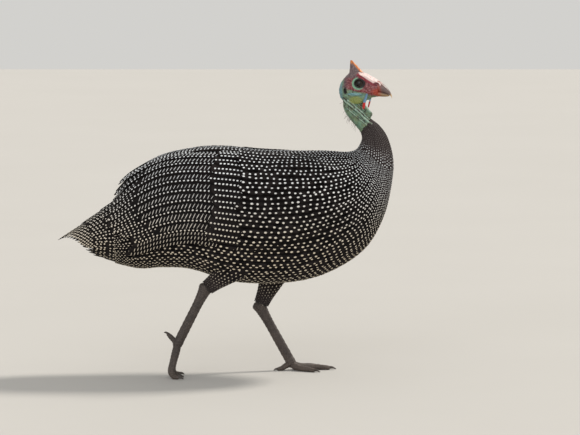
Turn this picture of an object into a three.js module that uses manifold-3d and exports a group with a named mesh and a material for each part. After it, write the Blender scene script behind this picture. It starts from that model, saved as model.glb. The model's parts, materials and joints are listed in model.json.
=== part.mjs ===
// A life-size model of an adult helmeted guinea fowl, walking: the left foot stands flat in front and the
// right foot pushes off behind it on its toe tips. The head is turned a little to the bird's right.
//
// Millimetres, +Z up, +X towards the breast, +Y to the bird's left. The origin is on the floor, under the
// middle of the whole bird. Every feathered outline is the outside of the plumage.
//
// The body is one envelope: a loft from the tail tip, along the trunk and up the neck. Stations along it are
// counted from 0 at the tail tip, and the angle round it is 0 on the back and half a turn on the belly. Wing
// and tail feathers are laid out in the same coordinates, at a height above or below that envelope.

import * as THREE from "three";
import { mergeVertices } from "three/addons/utils/BufferGeometryUtils.js";
import Module from "manifold-3d";

const wasm = await Module();
wasm.setup();

// Driving dimensions

const GAP = 0.3; // between neighbouring nodes
const HEAD_TURN = THREE.MathUtils.degToRad(-20); // towards the bird's right

// Each station of the envelope: its back point x and z, its belly (or throat) point x and z, its half width.
const ENVELOPE = [
  { name: "tail tip", back: [-221, 178], belly: [-205, 160], half: 17 },
  { name: "tail", back: [-166, 214], belly: [-163, 152], half: 29 },
  { name: "tail root", back: [-139, 234], belly: [-137, 145], half: 41 },
  { name: "rump", back: [-117, 262], belly: [-111, 140], half: 53 },
  { name: "hip", back: [-86, 284], belly: [-83, 142], half: 63 },
  { name: "loin", back: [-47, 294], belly: [-44, 140], half: 69 },
  { name: "mid back", back: [-1, 296.5], belly: [3, 125], half: 71 },
  { name: "saddle", back: [45, 291.5], belly: [47, 121], half: 71 },
  { name: "shoulder", back: [97, 291], belly: [101, 125], half: 68 },
  { name: "breast", back: [133, 291], belly: [146, 141], half: 60 },
  { name: "crop", back: [155, 289.5], belly: [183, 168], half: 50 },
  { name: "neck root", back: [167, 291], belly: [206, 209], half: 39 },
  { name: "lower neck", back: [173, 296], belly: [216, 253], half: 30 },
  { name: "collar", back: [176.5, 302], belly: [217, 282], half: 23 },
  { name: "feathered neck", back: [178.5, 309], belly: [210.5, 308], half: 17 },
  { name: "bare neck", back: [173.5, 318], belly: [200, 324], half: 13 },
  { name: "mid neck", back: [165, 328.5], belly: [190, 332], half: 11.2 },
  { name: "upper neck", back: [157, 339], belly: [182.5, 342], half: 10.6 },
  { name: "throat", back: [152.5, 348.5], belly: [177.5, 352], half: 11 },
  { name: "neck top", back: [152, 359], belly: [175, 361.5], half: 10 },
];
const SQUARENESS = 2.25; // of the envelope's sections: 2 is an ellipse
const BELLY_SPREAD = 0.05; // how much wider a section is below than above

const TAIL_CUT = 2.2; // stations where the envelope is parted into nodes
const NECK_CUT = 11.6;
const BARE_CUT = 14.9;
const HEAD_CUT = 18;
const CUT_STEP = 0.012; // the stations that one gap takes

const WING = { front: 9.9, top: 14, bottom: 118 }; // the wrist's station, and degrees round the envelope
const VANE = { thick: 0.55, step: 0.95 }; // one vane's thickness, and the rise from one vane to the next

const HEAD = { x: 177, y: -4.5, z: 381 }; // the point midway between the eyes
const HEAD_STATIONS = [
  { x: -30.5, top: -9, bottom: -13, half: 2.5 },
  { x: -28, top: -1, bottom: -21, half: 7.5 },
  { x: -23, top: 6, bottom: -26, half: 10.8 },
  { x: -15, top: 12.5, bottom: -28.5, half: 12.8 },
  { x: -6, top: 15, bottom: -27.5, half: 13.3 },
  { x: 3, top: 14, bottom: -23.5, half: 12.4 },
  { x: 11, top: 10.5, bottom: -20, half: 10.2 },
  { x: 18, top: 6.5, bottom: -18.4, half: 8 },
  { x: 23.5, top: 2.6, bottom: -17.6, half: 6.4 },
];
const EYE = { x: 0, z: -0.5, r: 6.6, depth: 4.6 };
const BILL_ROOT = 19; // x in the head's frame where both halves of the bill begin
const BILL_TIP = { x: 41, z: -19.5 };

const rad = THREE.MathUtils.degToRad;
const smooth = THREE.MathUtils.smoothstep;
const lerp = THREE.MathUtils.lerp;

// Solids

// A closed mesh as a manifold-3d solid, with its faces turned outwards.
function solidOf(geometry) {
  geometry.deleteAttribute("normal");
  geometry.deleteAttribute("uv");
  const merged = mergeVertices(geometry, 1e-4);
  const vertProperties = new Float32Array(merged.attributes.position.array);
  const triVerts = new Uint32Array(merged.index.array);
  const made = new wasm.Manifold(new wasm.Mesh({ numProp: 3, vertProperties, triVerts }));
  if (made.volume() > 0) return made;
  const turned = triVerts.map((_, i) => triVerts[i - (i % 3) + [0, 2, 1][i % 3]]);
  return new wasm.Manifold(new wasm.Mesh({ numProp: 3, vertProperties, triVerts: turned }));
}

// The largest closed surface of a solid, which drops loose scraps and fills sealed hollows.
function largest(solid) {
  const bodies = solid.decompose();
  return bodies.reduce((a, b) => (b.volume() > a.volume() ? b : a));
}

function fuse(solids) {
  return solids.reduce((a, b) => a.add(b));
}

function cut(solid, tools) {
  return tools.reduce((a, b) => a.subtract(b), solid);
}

// A closed skin over rings of points, all with the same number of points, with flat fans on both ends.
function loft(rings) {
  const count = rings[0].length;
  const points = rings.flat();
  const index = [];
  for (let i = 0; i + 1 < rings.length; i++)
    for (let j = 0; j < count; j++) {
      const a = i * count + j;
      const b = i * count + ((j + 1) % count);
      index.push(a, b, b + count, a, b + count, a + count);
    }
  for (const [ring, at, flip] of [
    [rings[0], 0, true],
    [rings.at(-1), (rings.length - 1) * count, false],
  ]) {
    const centre = points.length;
    points.push(ring.reduce((s, p) => s.add(p), new THREE.Vector3()).divideScalar(count));
    for (let j = 0; j < count; j++) {
      const a = at + j;
      const b = at + ((j + 1) % count);
      index.push(...(flip ? [a, centre, b] : [a, b, centre]));
    }
  }
  return solidOf(new THREE.BufferGeometry().setFromPoints(points).setIndex(index));
}

// A closed plate between two grids of points of the same size. Both faces are split into triangles alike.
function plate(upper, lower) {
  const rows = upper.length;
  const columns = upper[0].length;
  const points = [...upper.flat(), ...lower.flat()];
  const under = rows * columns;
  const index = [];
  for (let i = 0; i + 1 < rows; i++)
    for (let j = 0; j + 1 < columns; j++) {
      const [a, b, c, d] = [i * columns + j, i * columns + j + 1, (i + 1) * columns + j + 1, (i + 1) * columns + j];
      index.push(a, b, c, a, c, d);
      index.push(a + under, c + under, b + under, a + under, d + under, c + under);
    }
  const rim = [];
  for (let j = 0; j + 1 < columns; j++) rim.push(j);
  for (let i = 0; i + 1 < rows; i++) rim.push(i * columns + columns - 1);
  for (let j = columns - 1; j > 0; j--) rim.push((rows - 1) * columns + j);
  for (let i = rows - 1; i > 0; i--) rim.push(i * columns);
  rim.forEach((a, k) => {
    const b = rim[(k + 1) % rim.length];
    index.push(a, a + under, b + under, a, b + under, b);
  });
  return solidOf(new THREE.BufferGeometry().setFromPoints(points).setIndex(index));
}

// A tube of oval sections along a smooth path. Each stop is [x, y, z, half height, half width].
function limb(stops, { sections = 8, sides = 12, grow = 0, across = new THREE.Vector3(0, 1, 0) } = {}) {
  const path = new THREE.CatmullRomCurve3(stops.map((s) => new THREE.Vector3(...s)), false, "catmullrom", 0.5);
  const sizes = new THREE.CatmullRomCurve3(
    stops.map((s) => new THREE.Vector3(s[3], s[4] ?? s[3], 0)),
    false,
    "catmullrom",
    0.5,
  );
  const rings = [];
  for (let i = 0; i <= sections; i++) {
    const t = i / sections;
    const centre = path.getPoint(t);
    const along = path.getTangent(t);
    if (i === 0) centre.addScaledVector(along, -grow);
    if (i === sections) centre.addScaledVector(along, grow);
    const up = across.clone().cross(along).normalize();
    const side = along.clone().cross(up).normalize();
    const size = sizes.getPoint(t);
    const ring = [];
    for (let j = 0; j < sides; j++) {
      const angle = (2 * Math.PI * j) / sides;
      ring.push(
        centre
          .clone()
          .addScaledVector(up, (size.x + grow) * Math.cos(angle))
          .addScaledVector(side, (size.y + grow) * Math.sin(angle)),
      );
    }
    rings.push(ring);
  }
  return loft(rings);
}

function ball(x, y, z, r, segments = 20) {
  return solidOf(new THREE.SphereGeometry(r, segments, segments / 2).rotateX(Math.PI / 2).translate(x, y, z));
}

function box(low, high) {
  const size = high.map((v, i) => v - low[i]);
  const centre = high.map((v, i) => (v + low[i]) / 2);
  return solidOf(new THREE.BoxGeometry(...size).translate(...centre));
}

// The envelope

function curveOf(key) {
  const points = ENVELOPE.map((s) =>
    key === "half" ? new THREE.Vector3(s.half, 0, 0) : new THREE.Vector3(s[key][0], 0, s[key][1]),
  );
  return new THREE.CatmullRomCurve3(points, false, "catmullrom", 0.5);
}
const backCurve = curveOf("back");
const bellyCurve = curveOf("belly");
const halfCurve = curveOf("half");

// The point of the envelope at a station and an angle: positive angles are on the bird's left.
function envelopePoint(station, angle) {
  const t = station / (ENVELOPE.length - 1);
  const back = backCurve.getPoint(t);
  const belly = bellyCurve.getPoint(t);
  const half = halfCurve.getPoint(t).x;
  const c = Math.cos(angle);
  const s = Math.sin(angle);
  const r = (Math.abs(c) ** SQUARENESS + Math.abs(s) ** SQUARENESS) ** (-1 / SQUARENESS);
  const centre = back.clone().add(belly).multiplyScalar(0.5);
  const point = centre.addScaledVector(back.clone().sub(belly), 0.5 * c * r);
  point.y = half * s * r * (1 - BELLY_SPREAD * c);
  return point;
}

// The outward direction of the envelope there.
function envelopeNormal(station, angle) {
  const e = 0.02;
  const last = ENVELOPE.length - 1;
  const low = Math.max(0, station - e);
  const high = Math.min(last, station + e);
  const along = envelopePoint(high, angle).sub(envelopePoint(low, angle));
  const around = envelopePoint(station, angle + e).sub(envelopePoint(station, angle - e));
  return along.cross(around).normalize();
}

function onEnvelope(station, angle, height) {
  return envelopePoint(station, angle).addScaledVector(envelopeNormal(station, angle), height);
}

// A length of the envelope as a closed solid, grown outwards by a height that may change along it.
function trunk(from, to, sections, sides, height = () => 0) {
  const rings = [];
  for (let i = 0; i <= sections; i++) {
    const station = lerp(from, to, i / sections);
    const ring = [];
    for (let j = 0; j < sides; j++) ring.push(onEnvelope(station, (2 * Math.PI * j) / sides, height(station)));
    rings.push(ring);
  }
  return loft(rings);
}

function torso(grow = 0) {
  return trunk(TAIL_CUT - (grow ? CUT_STEP : 0), NECK_CUT, 20, 28, () => grow);
}

// One feather's vane, laid on the envelope from its root station to its tip station. centre and pitch are its
// own angle and the angle to the next vane at a station; height is that of its underside in its middle. The
// vane rises from one edge to the other, so that each lies over the next like tiles.
function vane({ side, root, tip, centre, pitch, height, halfWidth = 0.72, lengths = 5, roof = false }) {
  const shape = [0.55, 0.9, 1, 1, 0.85, 0.4];
  const outline = new THREE.CatmullRomCurve3(
    shape.map((w) => new THREE.Vector3(w, 0, 0)),
    false,
    "catmullrom",
    0.5,
  );
  const upper = [];
  const lower = [];
  for (let i = 0; i <= lengths; i++) {
    const t = i / lengths;
    const station = lerp(root, tip, t);
    const width = halfWidth * outline.getPoint(t).x;
    const [over, under] = [[], []];
    for (const across of [-1, 0, 1]) {
      const turned = across * width;
      const rise = VANE.step * (roof ? Math.abs(turned) : turned);
      const angle = side * (centre(station) + turned * pitch(station));
      const h = height(station) + rise;
      over.push(onEnvelope(station, angle, h + VANE.thick));
      under.push(onEnvelope(station, angle, h));
    }
    upper.push(over);
    lower.push(under);
  }
  return plate(upper, lower);
}

// Wings

// The long feathers stand off the loin a little. The steep rump falls away below them, most of all below the
// innermost ones, whose tips end in a step above the tail.
function lift(station, angle) {
  const crest = 1 - smooth(angle, rad(16), rad(44));
  return 0.9 * (1 - smooth(station, 4.8, 5.9)) + (4.5 + 8 * crest) * (1 - smooth(station, 1.6, 3.9));
}

// The folded arm is a thin shell that rises forwards in steps. Each tier of vanes grows out of one step: count
// vanes between the angles from and to, rooted at the station of the step, at the height of that step's foot.
const TIERS = [
  { count: 9, from: 15, to: 110.5, step: 6, tip: [2.6, 1.7, 1.6, 3], lengths: 5 },
  { count: 8, from: 15, to: 118, step: 7.4, tip: [5.2, 5.1, 4.9, 4.8], lengths: 3 },
  { count: 7, from: 15, to: 116, step: 8.6, tip: [6.6, 6.5, 6.4, 6.3], lengths: 2 },
];
const PRIMARIES = { count: 3, from: 110.5, to: 125.5, step: 6, tip: [2.9, 2.7, 2.5, 2.3], lengths: 5 };
const LAYER = 2 * 0.72 * VANE.step + VANE.thick + 0.43; // the height that one tier takes
const BASE = GAP + 0.72 * VANE.step + 0.3; // of the lowest tier
const SUNK = 0.16; // stations of a vane's root inside its step

// Half the angle that the wing takes up at a station: the whole fan behind, narrowing to the wrist.
function wingReach(station) {
  return rad((WING.bottom - WING.top) / 2) * lerp(1, 0.45, smooth(station, 7, WING.front));
}
const WING_MIDDLE = rad((WING.bottom + WING.top) / 2);

function tierVanes(side, tier, level) {
  const tips = new THREE.CatmullRomCurve3(tier.tip.map((v) => new THREE.Vector3(v, 0, 0)), false, "catmullrom", 0.5);
  const span = rad(tier.to - tier.from) / tier.count;
  return Array.from({ length: tier.count }, (_, k) => {
    const own = rad(tier.from) + (k + 0.5) * span;
    const spread = (station) => (wingReach(station) / wingReach(5)) * lerp(0.83, 1, 1 - smooth(station, 3, 6));
    return vane({
      side,
      root: tier.step + SUNK,
      tip: tips.getPoint((k + 0.5) / tier.count).x,
      centre: (station) => WING_MIDDLE + (own - WING_MIDDLE) * spread(station),
      pitch: (station) => span * spread(station),
      height: (station) => BASE + level * LAYER + lift(station, own),
      lengths: tier.lengths,
    });
  });
}

function arm(side) {
  const tops = TIERS.map((_, level) => BASE + level * LAYER + 0.72 * VANE.step + VANE.thick + 0.08);
  const rows = [
    [6, tops[0]],
    [6.7, tops[0]],
    [7.38, tops[0]],
    [7.42, tops[1]],
    [8, tops[1]],
    [8.58, tops[1]],
    [8.62, tops[2]],
    [9.1, tops[2] - 1],
    [9.5, tops[2] - 3.2],
    [9.75, 2],
    [WING.front, 0.9],
  ];
  const across = [-1, -0.955, -0.6, -0.2, 0.2, 0.6, 0.955, 1];
  const upper = [];
  const lower = [];
  for (const [station, top] of rows) {
    const angle = (v) => side * (WING_MIDDLE + v * wingReach(station));
    upper.push(across.map((v) => onEnvelope(station, angle(v), Math.abs(v) === 1 ? 0.8 : top)));
    lower.push(across.map((v) => onEnvelope(station, angle(v), -3)));
  }
  return plate(upper, lower);
}

function wing(side) {
  const tiers = TIERS.flatMap((tier, level) => tierVanes(side, tier, level));
  return largest(fuse([arm(side), ...tiers, ...tierVanes(side, PRIMARIES, 0)]).subtract(torso(GAP)));
}

// Tail

const TAIL_ROOT = 1.75; // the station where the tail's feathers leave its stump
const TAIL_FANS = [
  { pairs: 5, pitch: 19, middle: 0, tip: [0.02, 0.3], height: -4.6, lengths: 3 },
  { pairs: 3, pitch: 28, middle: 0, tip: [0.75, 1], height: -2.4, lengths: 3 },
  { pairs: 2, pitch: 24, middle: 180, tip: [0.85, 1.1], height: -2.4, lengths: 3 },
];

function tail() {
  const stump = trunk(TAIL_ROOT, TAIL_CUT + 0.1, 2, 18, () => -0.6);
  const core = trunk(0.8, TAIL_ROOT + 0.1, 3, 18, () => -11);
  const vanes = TAIL_FANS.flatMap((fan) =>
    Array.from({ length: 2 * fan.pairs + 1 }, (_, i) => {
      const k = Math.abs(i - fan.pairs);
      const turn = fan.middle ? -1 : 1;
      return vane({
        side: i < fan.pairs ? -1 : 1,
        root: TAIL_ROOT + SUNK,
        tip: lerp(...fan.tip, k / fan.pairs),
        centre: () => rad(fan.middle + turn * k * fan.pitch),
        pitch: () => turn * rad(fan.pitch),
        height: () => fan.height,
        lengths: fan.lengths,
        roof: k === 0,
      });
    }),
  );
  return largest(fuse([stump, core, ...vanes]).subtract(torso(GAP)));
}

// Head, in its own frame: +X to the bill tip, the origin midway between the eyes

function profileCurve(rows, key) {
  return new THREE.CatmullRomCurve3(rows.map((r) => new THREE.Vector3(r[key], 0, 0)), false, "catmullrom", 0.5);
}

// A loft along x of rounded sections given by their top, bottom and half width.
function ovalLoft(rows, sections, sides, grow = 0, lower = 0.5) {
  const curves = Object.fromEntries(["x", "top", "bottom", "half"].map((key) => [key, profileCurve(rows, key)]));
  const rings = [];
  for (let i = 0; i <= sections; i++) {
    const t = i / sections;
    const [x, top, bottom, half] = ["x", "top", "bottom", "half"].map((key) => curves[key].getPoint(t).x);
    const shift = i === 0 ? -grow : i === sections ? grow : 0;
    const middle = lerp(bottom, top, lower);
    const ring = [];
    for (let j = 0; j < sides; j++) {
      const angle = (2 * Math.PI * j) / sides;
      const c = Math.cos(angle);
      const reach = c > 0 ? top - middle : middle - bottom;
      ring.push(new THREE.Vector3(x + shift, (half + grow) * Math.sin(angle), middle + (reach + grow) * c));
    }
    rings.push(ring);
  }
  return loft(rings);
}

function headCore(grow = 0) {
  return ovalLoft(HEAD_STATIONS, 12, 20, grow, 0.52);
}

// Half the head's width at a place on its side, from the same stations as its loft.
function headSide(x, z) {
  const place = HEAD_STATIONS.findIndex((s) => s.x > x);
  const [a, b] = [HEAD_STATIONS[place - 1], HEAD_STATIONS[place]];
  const t = (x - a.x) / (b.x - a.x);
  const [top, bottom, half] = ["top", "bottom", "half"].map((key) => lerp(a[key], b[key], t));
  const middle = lerp(bottom, top, 0.52);
  const reach = z > middle ? top - middle : middle - bottom;
  return half * Math.sqrt(Math.max(0, 1 - ((z - middle) / reach) ** 2));
}

function ringOn(x, y, z, r, thick, stretch = 1) {
  const ring = new THREE.TorusGeometry(r, thick, 6, 14).scale(1, stretch, 1).rotateX(Math.PI / 2);
  const away = Math.sign(y);
  return solidOf(ring.rotateZ(-away * 0.16).rotateX(-away * 0.12).translate(x, y, z));
}

function upperBill(grow = 0) {
  return ovalLoft(
    [
      { x: BILL_ROOT - 4, top: 4.5, bottom: -10.5, half: 6 },
      { x: 23, top: 2.8, bottom: -11.4, half: 5.9 },
      { x: 28, top: -0.6, bottom: -12.2, half: 5 },
      { x: 33, top: -4.6, bottom: -13.4, half: 3.8 },
      { x: 37, top: -9, bottom: -14.8, half: 2.7 },
      { x: 39.8, top: -13.8, bottom: -17.2, half: 1.6 },
      { x: BILL_TIP.x, top: -18.2, bottom: BILL_TIP.z, half: 0.6 },
    ],
    8,
    14,
    grow,
    0.3,
  );
}

function lowerBill(grow = 0) {
  return ovalLoft(
    [
      { x: BILL_ROOT - 4, top: -9.5, bottom: -16.8, half: 5.2 },
      { x: 24, top: -10.5, bottom: -17.6, half: 4.9 },
      { x: 30, top: -12, bottom: -17.8, half: 3.7 },
      { x: 35, top: -14, bottom: -17.4, half: 2.4 },
      { x: 37.6, top: -15.6, bottom: -16.6, half: 1 },
    ],
    7,
    14,
    grow,
    0.7,
  );
}

// The helmet: a tall narrow horn that leans back, set on the crown.
function casque() {
  const base = { front: 3, back: -18, z: 8, half: 5.4 };
  const tip = { front: -13.4, back: -15.6, z: 28.4, half: 0.8 };
  const levels = 8;
  const rings = [];
  for (let i = 0; i <= levels; i++) {
    const t = i / levels;
    const z = lerp(base.z, tip.z, t);
    const front = lerp(base.front, tip.front, t ** 0.85);
    const back = lerp(base.back, tip.back, t ** 0.6);
    const half = lerp(base.half, tip.half, t ** 0.8);
    const ring = [];
    for (let j = 0; j < 16; j++) {
      const angle = (2 * Math.PI * j) / 16;
      ring.push(
        new THREE.Vector3((front + back) / 2 + ((front - back) / 2) * Math.cos(angle), half * Math.sin(angle), z),
      );
    }
    rings.push(ring);
  }
  return loft(rings);
}

// A flat leaf that hangs from the corner of the mouth, thicker towards its round tip.
function wattle(side) {
  return limb(
    [
      [11, side * 5.8, -13, 1.2, 3.8],
      [9.5, side * 8.2, -18, 1.2, 4.3],
      [7.4, side * 10.4, -24, 1.1, 4.6],
      [5.6, side * 11.8, -29.5, 1.4, 3.9],
      [4.6, side * 12.2, -33, 0.9, 1.5],
    ],
    { sections: 8, sides: 12, across: new THREE.Vector3(0.72, side * 0.69, 0).normalize() },
  );
}

// Everything fleshy that stands out from the skull on one side: the brow over the eye, the swollen cere over
// the nostril and the lip at the corner of the mouth.
const RIDGES = {
  brow: [
    [-9, 11.2, 6.2, 1.2],
    [-3, 11.2, 8.3, 1.8],
    [4, 10, 7.6, 2],
    [11, 8, 4.4, 1.8],
    [17, 6, 1.4, 1.2],
  ],
  cere: [
    [16.5, 6, 1.2, 1],
    [21, 5.4, 0.6, 1.5],
    [25, 4.7, -1.8, 1.4],
    [26.4, 4.3, -4.6, 0.8],
  ],
  lip: [
    [10, 9.4, -13.2, 0.9],
    [15.5, 7.6, -11.6, 1.1],
    [20.5, 6, -11.8, 0.7],
  ],
};
const NOSTRIL = [
  [19.4, 6.6, -1.6, 0.8, 1.4],
  [21.4, 6.4, -2.9, 1.1, 1.7],
  [23.4, 5.8, -4.4, 0.7, 1.4],
];
const EAR = { x: -18.5, z: -12, r: 2.2 };

function sideTube(stops, side, grow = 0) {
  return limb(
    stops.map(([x, y, ...rest]) => [x, side * y, ...rest]),
    { sections: stops.length, sides: 6, grow },
  );
}

function headSkull(grow = 0) {
  const ridges = [-1, 1].flatMap((side) => Object.values(RIDGES).map((stops) => sideTube(stops, side, grow)));
  return fuse([headCore(grow), ...ridges]);
}

function headParts() {
  const pairs = [-1, 1].map((side) => ({ side, y: side * (headSide(EYE.x, EYE.z) - EYE.depth) }));
  const lids = pairs.map(({ side, y }) => ringOn(EYE.x, y + side * 4.3, EYE.z, 5.9, 1.25, 0.92));
  const ears = [-1, 1].map((side) => ({ side, y: side * headSide(EAR.x, EAR.z) }));
  const earHoles = ears.map(({ side, y }) => ball(EAR.x, y, EAR.z, EAR.r, 10));
  const sockets = pairs.map(({ y }) => ball(EYE.x, y, EYE.z, EYE.r + GAP, 14));
  const nostrils = [-1, 1].map((side) => sideTube(NOSTRIL, side));
  const stub = intoHead(trunk(HEAD_CUT + CUT_STEP, 19, 2, 18));
  const neckRoom = intoHead(trunk(16.6, HEAD_CUT, 3, 18, () => GAP));
  const flesh = fuse([headSkull(), stub, ...lids]);
  const skullRoom = headSkull(GAP);

  const parts = { head: largest(cut(flesh, [neckRoom, ...sockets, ...earHoles, ...nostrils])) };
  parts.casque = largest(casque().subtract(skullRoom));
  parts.bill_upper = largest(cut(upperBill(), [skullRoom, ...nostrils]));
  parts.bill_lower = largest(cut(lowerBill(), [skullRoom, upperBill(GAP)]));
  for (const [name, side] of [["right", -1], ["left", 1]]) {
    const { y } = pairs.find((pair) => pair.side === side);
    parts["eye_" + name] = ball(EYE.x, y, EYE.z, EYE.r, 14);
    parts["wattle_" + name] = largest(cut(wattle(side), [skullRoom, upperBill(GAP), lowerBill(GAP)]));
  }
  return parts;
}

// The head's frame to the bird's, and back.
const headFrame = new THREE.Matrix4()
  .makeTranslation(HEAD.x, HEAD.y, HEAD.z)
  .multiply(new THREE.Matrix4().makeRotationZ(HEAD_TURN));

function intoHead(solid) {
  return solid.transform(headFrame.clone().invert().elements);
}

// Legs

// Each leg: the hip deep in the body, the hock, the ball of the foot, and the toes. A toe is a list of stops
// [x, out, z, half thickness], where out is measured from the ball away from the middle of the bird.
const LEGS = {
  right: {
    side: -1,
    hip: [34, 40, 162],
    hock: [-26, 31, 114.5],
    ball: [-62, 32, 43],
    toes: {
      middle: [
        [-64, 1, 34, 4.8],
        [-68, 3, 20, 4],
        [-70.5, 5, 9, 3.7],
        [-68, 6, 3.1, 3.4],
        [-62.5, 6.6, 2.5, 2.7],
      ],
      outer: [
        [-63, 5, 35, 4.4],
        [-66.5, 12, 20, 3.6],
        [-68.5, 17, 8.5, 3.3],
        [-66, 19.5, 2.9, 3.1],
        [-61.5, 21, 2.3, 2.5],
      ],
      inner: [
        [-63, -4, 35, 4.4],
        [-66.5, -9, 20, 3.5],
        [-68, -13, 8.5, 3.2],
        [-65.5, -15, 2.8, 3],
        [-61.5, -16.2, 2.3, 2.4],
      ],
      hind: [[-66, -4, 47, 3.4], [-71, -6, 52, 2.9], [-74, -7, 55.5, 2.2]],
    },
    claws: {
      middle: [[-57.5, 7.1, 3, 1.6], [-53.5, 7.5, 1.1, 0.5]],
      outer: [[-57, 22.4, 2.8, 1.5], [-53.5, 23.4, 1, 0.5]],
      inner: [[-57, -17.6, 2.8, 1.5], [-53.5, -18.6, 1, 0.5]],
      hind: [[-77, -8, 57.3, 1.3], [-79.5, -8.6, 57.2, 0.5]],
    },
  },
  left: {
    side: 1,
    hip: [76, 38, 156],
    hock: [44.5, 33, 84],
    ball: [86, 32, 9],
    toes: {
      middle: [
        [92.5, 0, 5.6, 4.8],
        [104.5, 1, 3.5, 4],
        [116.5, 2, 3.1, 3.5],
        [127.5, 2.4, 3, 3.4],
        [134.5, 2.8, 2.5, 2.7],
      ],
      outer: [[91.5, 5, 5, 4.4], [100.5, 12, 3.2, 3.6], [109.5, 18, 2.8, 3.2], [117.5, 23, 2.3, 2.5]],
      inner: [[91.5, -5, 5, 4.4], [99.5, -11, 3.2, 3.6], [107.5, -16, 2.8, 3.2], [114.5, -20.5, 2.3, 2.5]],
      hind: [[79, -4, 6.5, 3.6], [73.5, -6, 3.2, 3.1], [69, -7.4, 2.3, 2.4]],
    },
    claws: {
      middle: [[139.5, 3, 3, 1.6], [144.5, 3.2, 1.1, 0.5]],
      outer: [[122, 25.7, 2.8, 1.5], [126, 28, 1, 0.5]],
      inner: [[119, -23.2, 2.8, 1.5], [123, -25.4, 1, 0.5]],
      hind: [[65.5, -8.4, 2.6, 1.3], [62.5, -9.3, 1, 0.5]],
    },
  },
};
const THIGH = { hock: 8.6, knee: 10.2, mid: 15, hip: 25, slim: 0.84 };
const SHANK = { hock: 9.2, below: 7.6, mid: 6.3, ball: 6.4, slim: 0.76 };

const place = ({ side }, [x, out, z]) => new THREE.Vector3(x, side * out, z);

function stop(point, half, slim) {
  return [point.x, point.y, point.z, half, half * slim];
}

function thigh(leg) {
  const hip = place(leg, leg.hip);
  const hock = place(leg, leg.hock);
  const at = (t, half) => stop(hock.clone().lerp(hip, t), half, THIGH.slim);
  return largest(
    cut(
      limb([at(0, THIGH.hock), at(0.2, THIGH.knee), at(0.5, THIGH.mid), at(1, THIGH.hip)], { sections: 7, sides: 16 }),
      [torso(GAP), shank(leg, GAP)],
    ),
  );
}

// The scaled shank, from its round knob at the hock down to the ball of the foot.
function shank(leg, grow = 0) {
  const hock = place(leg, leg.hock);
  const ball = place(leg, leg.ball);
  const length = hock.distanceTo(ball);
  const at = (distance, half) => stop(hock.clone().lerp(ball, distance / length), half, SHANK.slim);
  return limb(
    [
      at(-7.5, 5),
      at(-3, SHANK.hock - 0.8),
      at(6, SHANK.hock),
      at(0.28 * length, SHANK.below),
      at(0.6 * length, SHANK.mid),
      at(length - 6 - GAP, SHANK.ball),
    ],
    { sections: 9, sides: 12, grow },
  );
}

function foot(leg) {
  const hock = place(leg, leg.hock);
  const ball = place(leg, leg.ball);
  const down = ball.clone().sub(hock).normalize();
  const at = (distance, half) => stop(ball.clone().addScaledVector(down, distance), half, 0.9);
  const block = limb([at(-6, SHANK.ball), at(-2, 6.2), at(3, 4.6)], { sections: 3, sides: 12 });
  const toes = Object.values(leg.toes).map((stops) => {
    const points = stops.map(([x, out, z, half]) => [x, leg.side * (leg.ball[1] + out), z, half, half]);
    return limb([stop(ball, 4.6, 1), ...points], { sections: stops.length + 2, sides: 8 });
  });
  const floor = box([-200, -100, -20], [200, 100, 0]);
  return largest(fuse([block, ...toes]).subtract(floor));
}

function claw(leg, toe) {
  const last = leg.toes[toe].at(-1);
  const before = leg.toes[toe].at(-2);
  const end = new THREE.Vector3(last[0], last[1], last[2]);
  const along = end.clone().sub(new THREE.Vector3(before[0], before[1], before[2])).normalize();
  const root = [GAP, GAP + 1.5].map((step) => [...end.clone().addScaledVector(along, step), last[3] * 0.82]);
  const stops = [...root, ...leg.claws[toe]];
  const whole = limb(
    stops.map(([x, out, z, half]) => [x, leg.side * (leg.ball[1] + out), z, half, half]),
    { sections: 4, sides: 8 },
  );
  return whole.subtract(box([-200, -100, -20], [200, 100, GAP]));
}

// Colours of the plain solids

const FINISH = {
  plumage: { color: 0x1b191b, roughness: 0.7 },
  neck_plumage: { color: 0x4a4548, roughness: 0.8 },
  blue_skin: { color: 0x8fb9a8, roughness: 0.6 },
  red_skin: { color: 0xa8403a, roughness: 0.6 },
  horn: { color: 0xa5602f, roughness: 0.5 },
  bill: { color: 0x9a7460, roughness: 0.45 },
  eye: { color: 0x17100c, roughness: 0.15 },
  wattle: { color: 0xb3242a, roughness: 0.55 },
  leg: { color: 0x4a4038, roughness: 0.75 },
  claw: { color: 0x2c2622, roughness: 0.5 },
};
const materials = Object.fromEntries(
  Object.entries(FINISH).map(([name, f]) => [name, new THREE.MeshStandardMaterial({ ...f, metalness: 0 })]),
);

function meshOf(name, solid, finish) {
  const { vertProperties, triVerts, numProp, numVert } = solid.getMesh();
  const points = new Float32Array(numVert * 3);
  for (let i = 0; i < numVert; i++) points.set(vertProperties.subarray(i * numProp, i * numProp + 3), i * 3);
  const geometry = new THREE.BufferGeometry()
    .setAttribute("position", new THREE.BufferAttribute(points, 3))
    .setIndex(new THREE.BufferAttribute(new Uint32Array(triVerts), 1));
  geometry.computeVertexNormals();
  const mesh = new THREE.Mesh(geometry, materials[finish]);
  mesh.name = name;
  return mesh;
}

const bird = new THREE.Group();
const head = new THREE.Group();
head.applyMatrix4(headFrame);
bird.add(head);

bird.add(meshOf("torso", torso(), "plumage"));
bird.add(meshOf("neck_lower", trunk(NECK_CUT + CUT_STEP, BARE_CUT, 6, 22), "neck_plumage"));
bird.add(meshOf("neck_upper", trunk(BARE_CUT + CUT_STEP, HEAD_CUT - CUT_STEP, 7, 20), "blue_skin"));
bird.add(meshOf("wing_right", wing(-1), "plumage"));
bird.add(meshOf("wing_left", wing(1), "plumage"));
bird.add(meshOf("tail", tail(), "plumage"));

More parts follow.
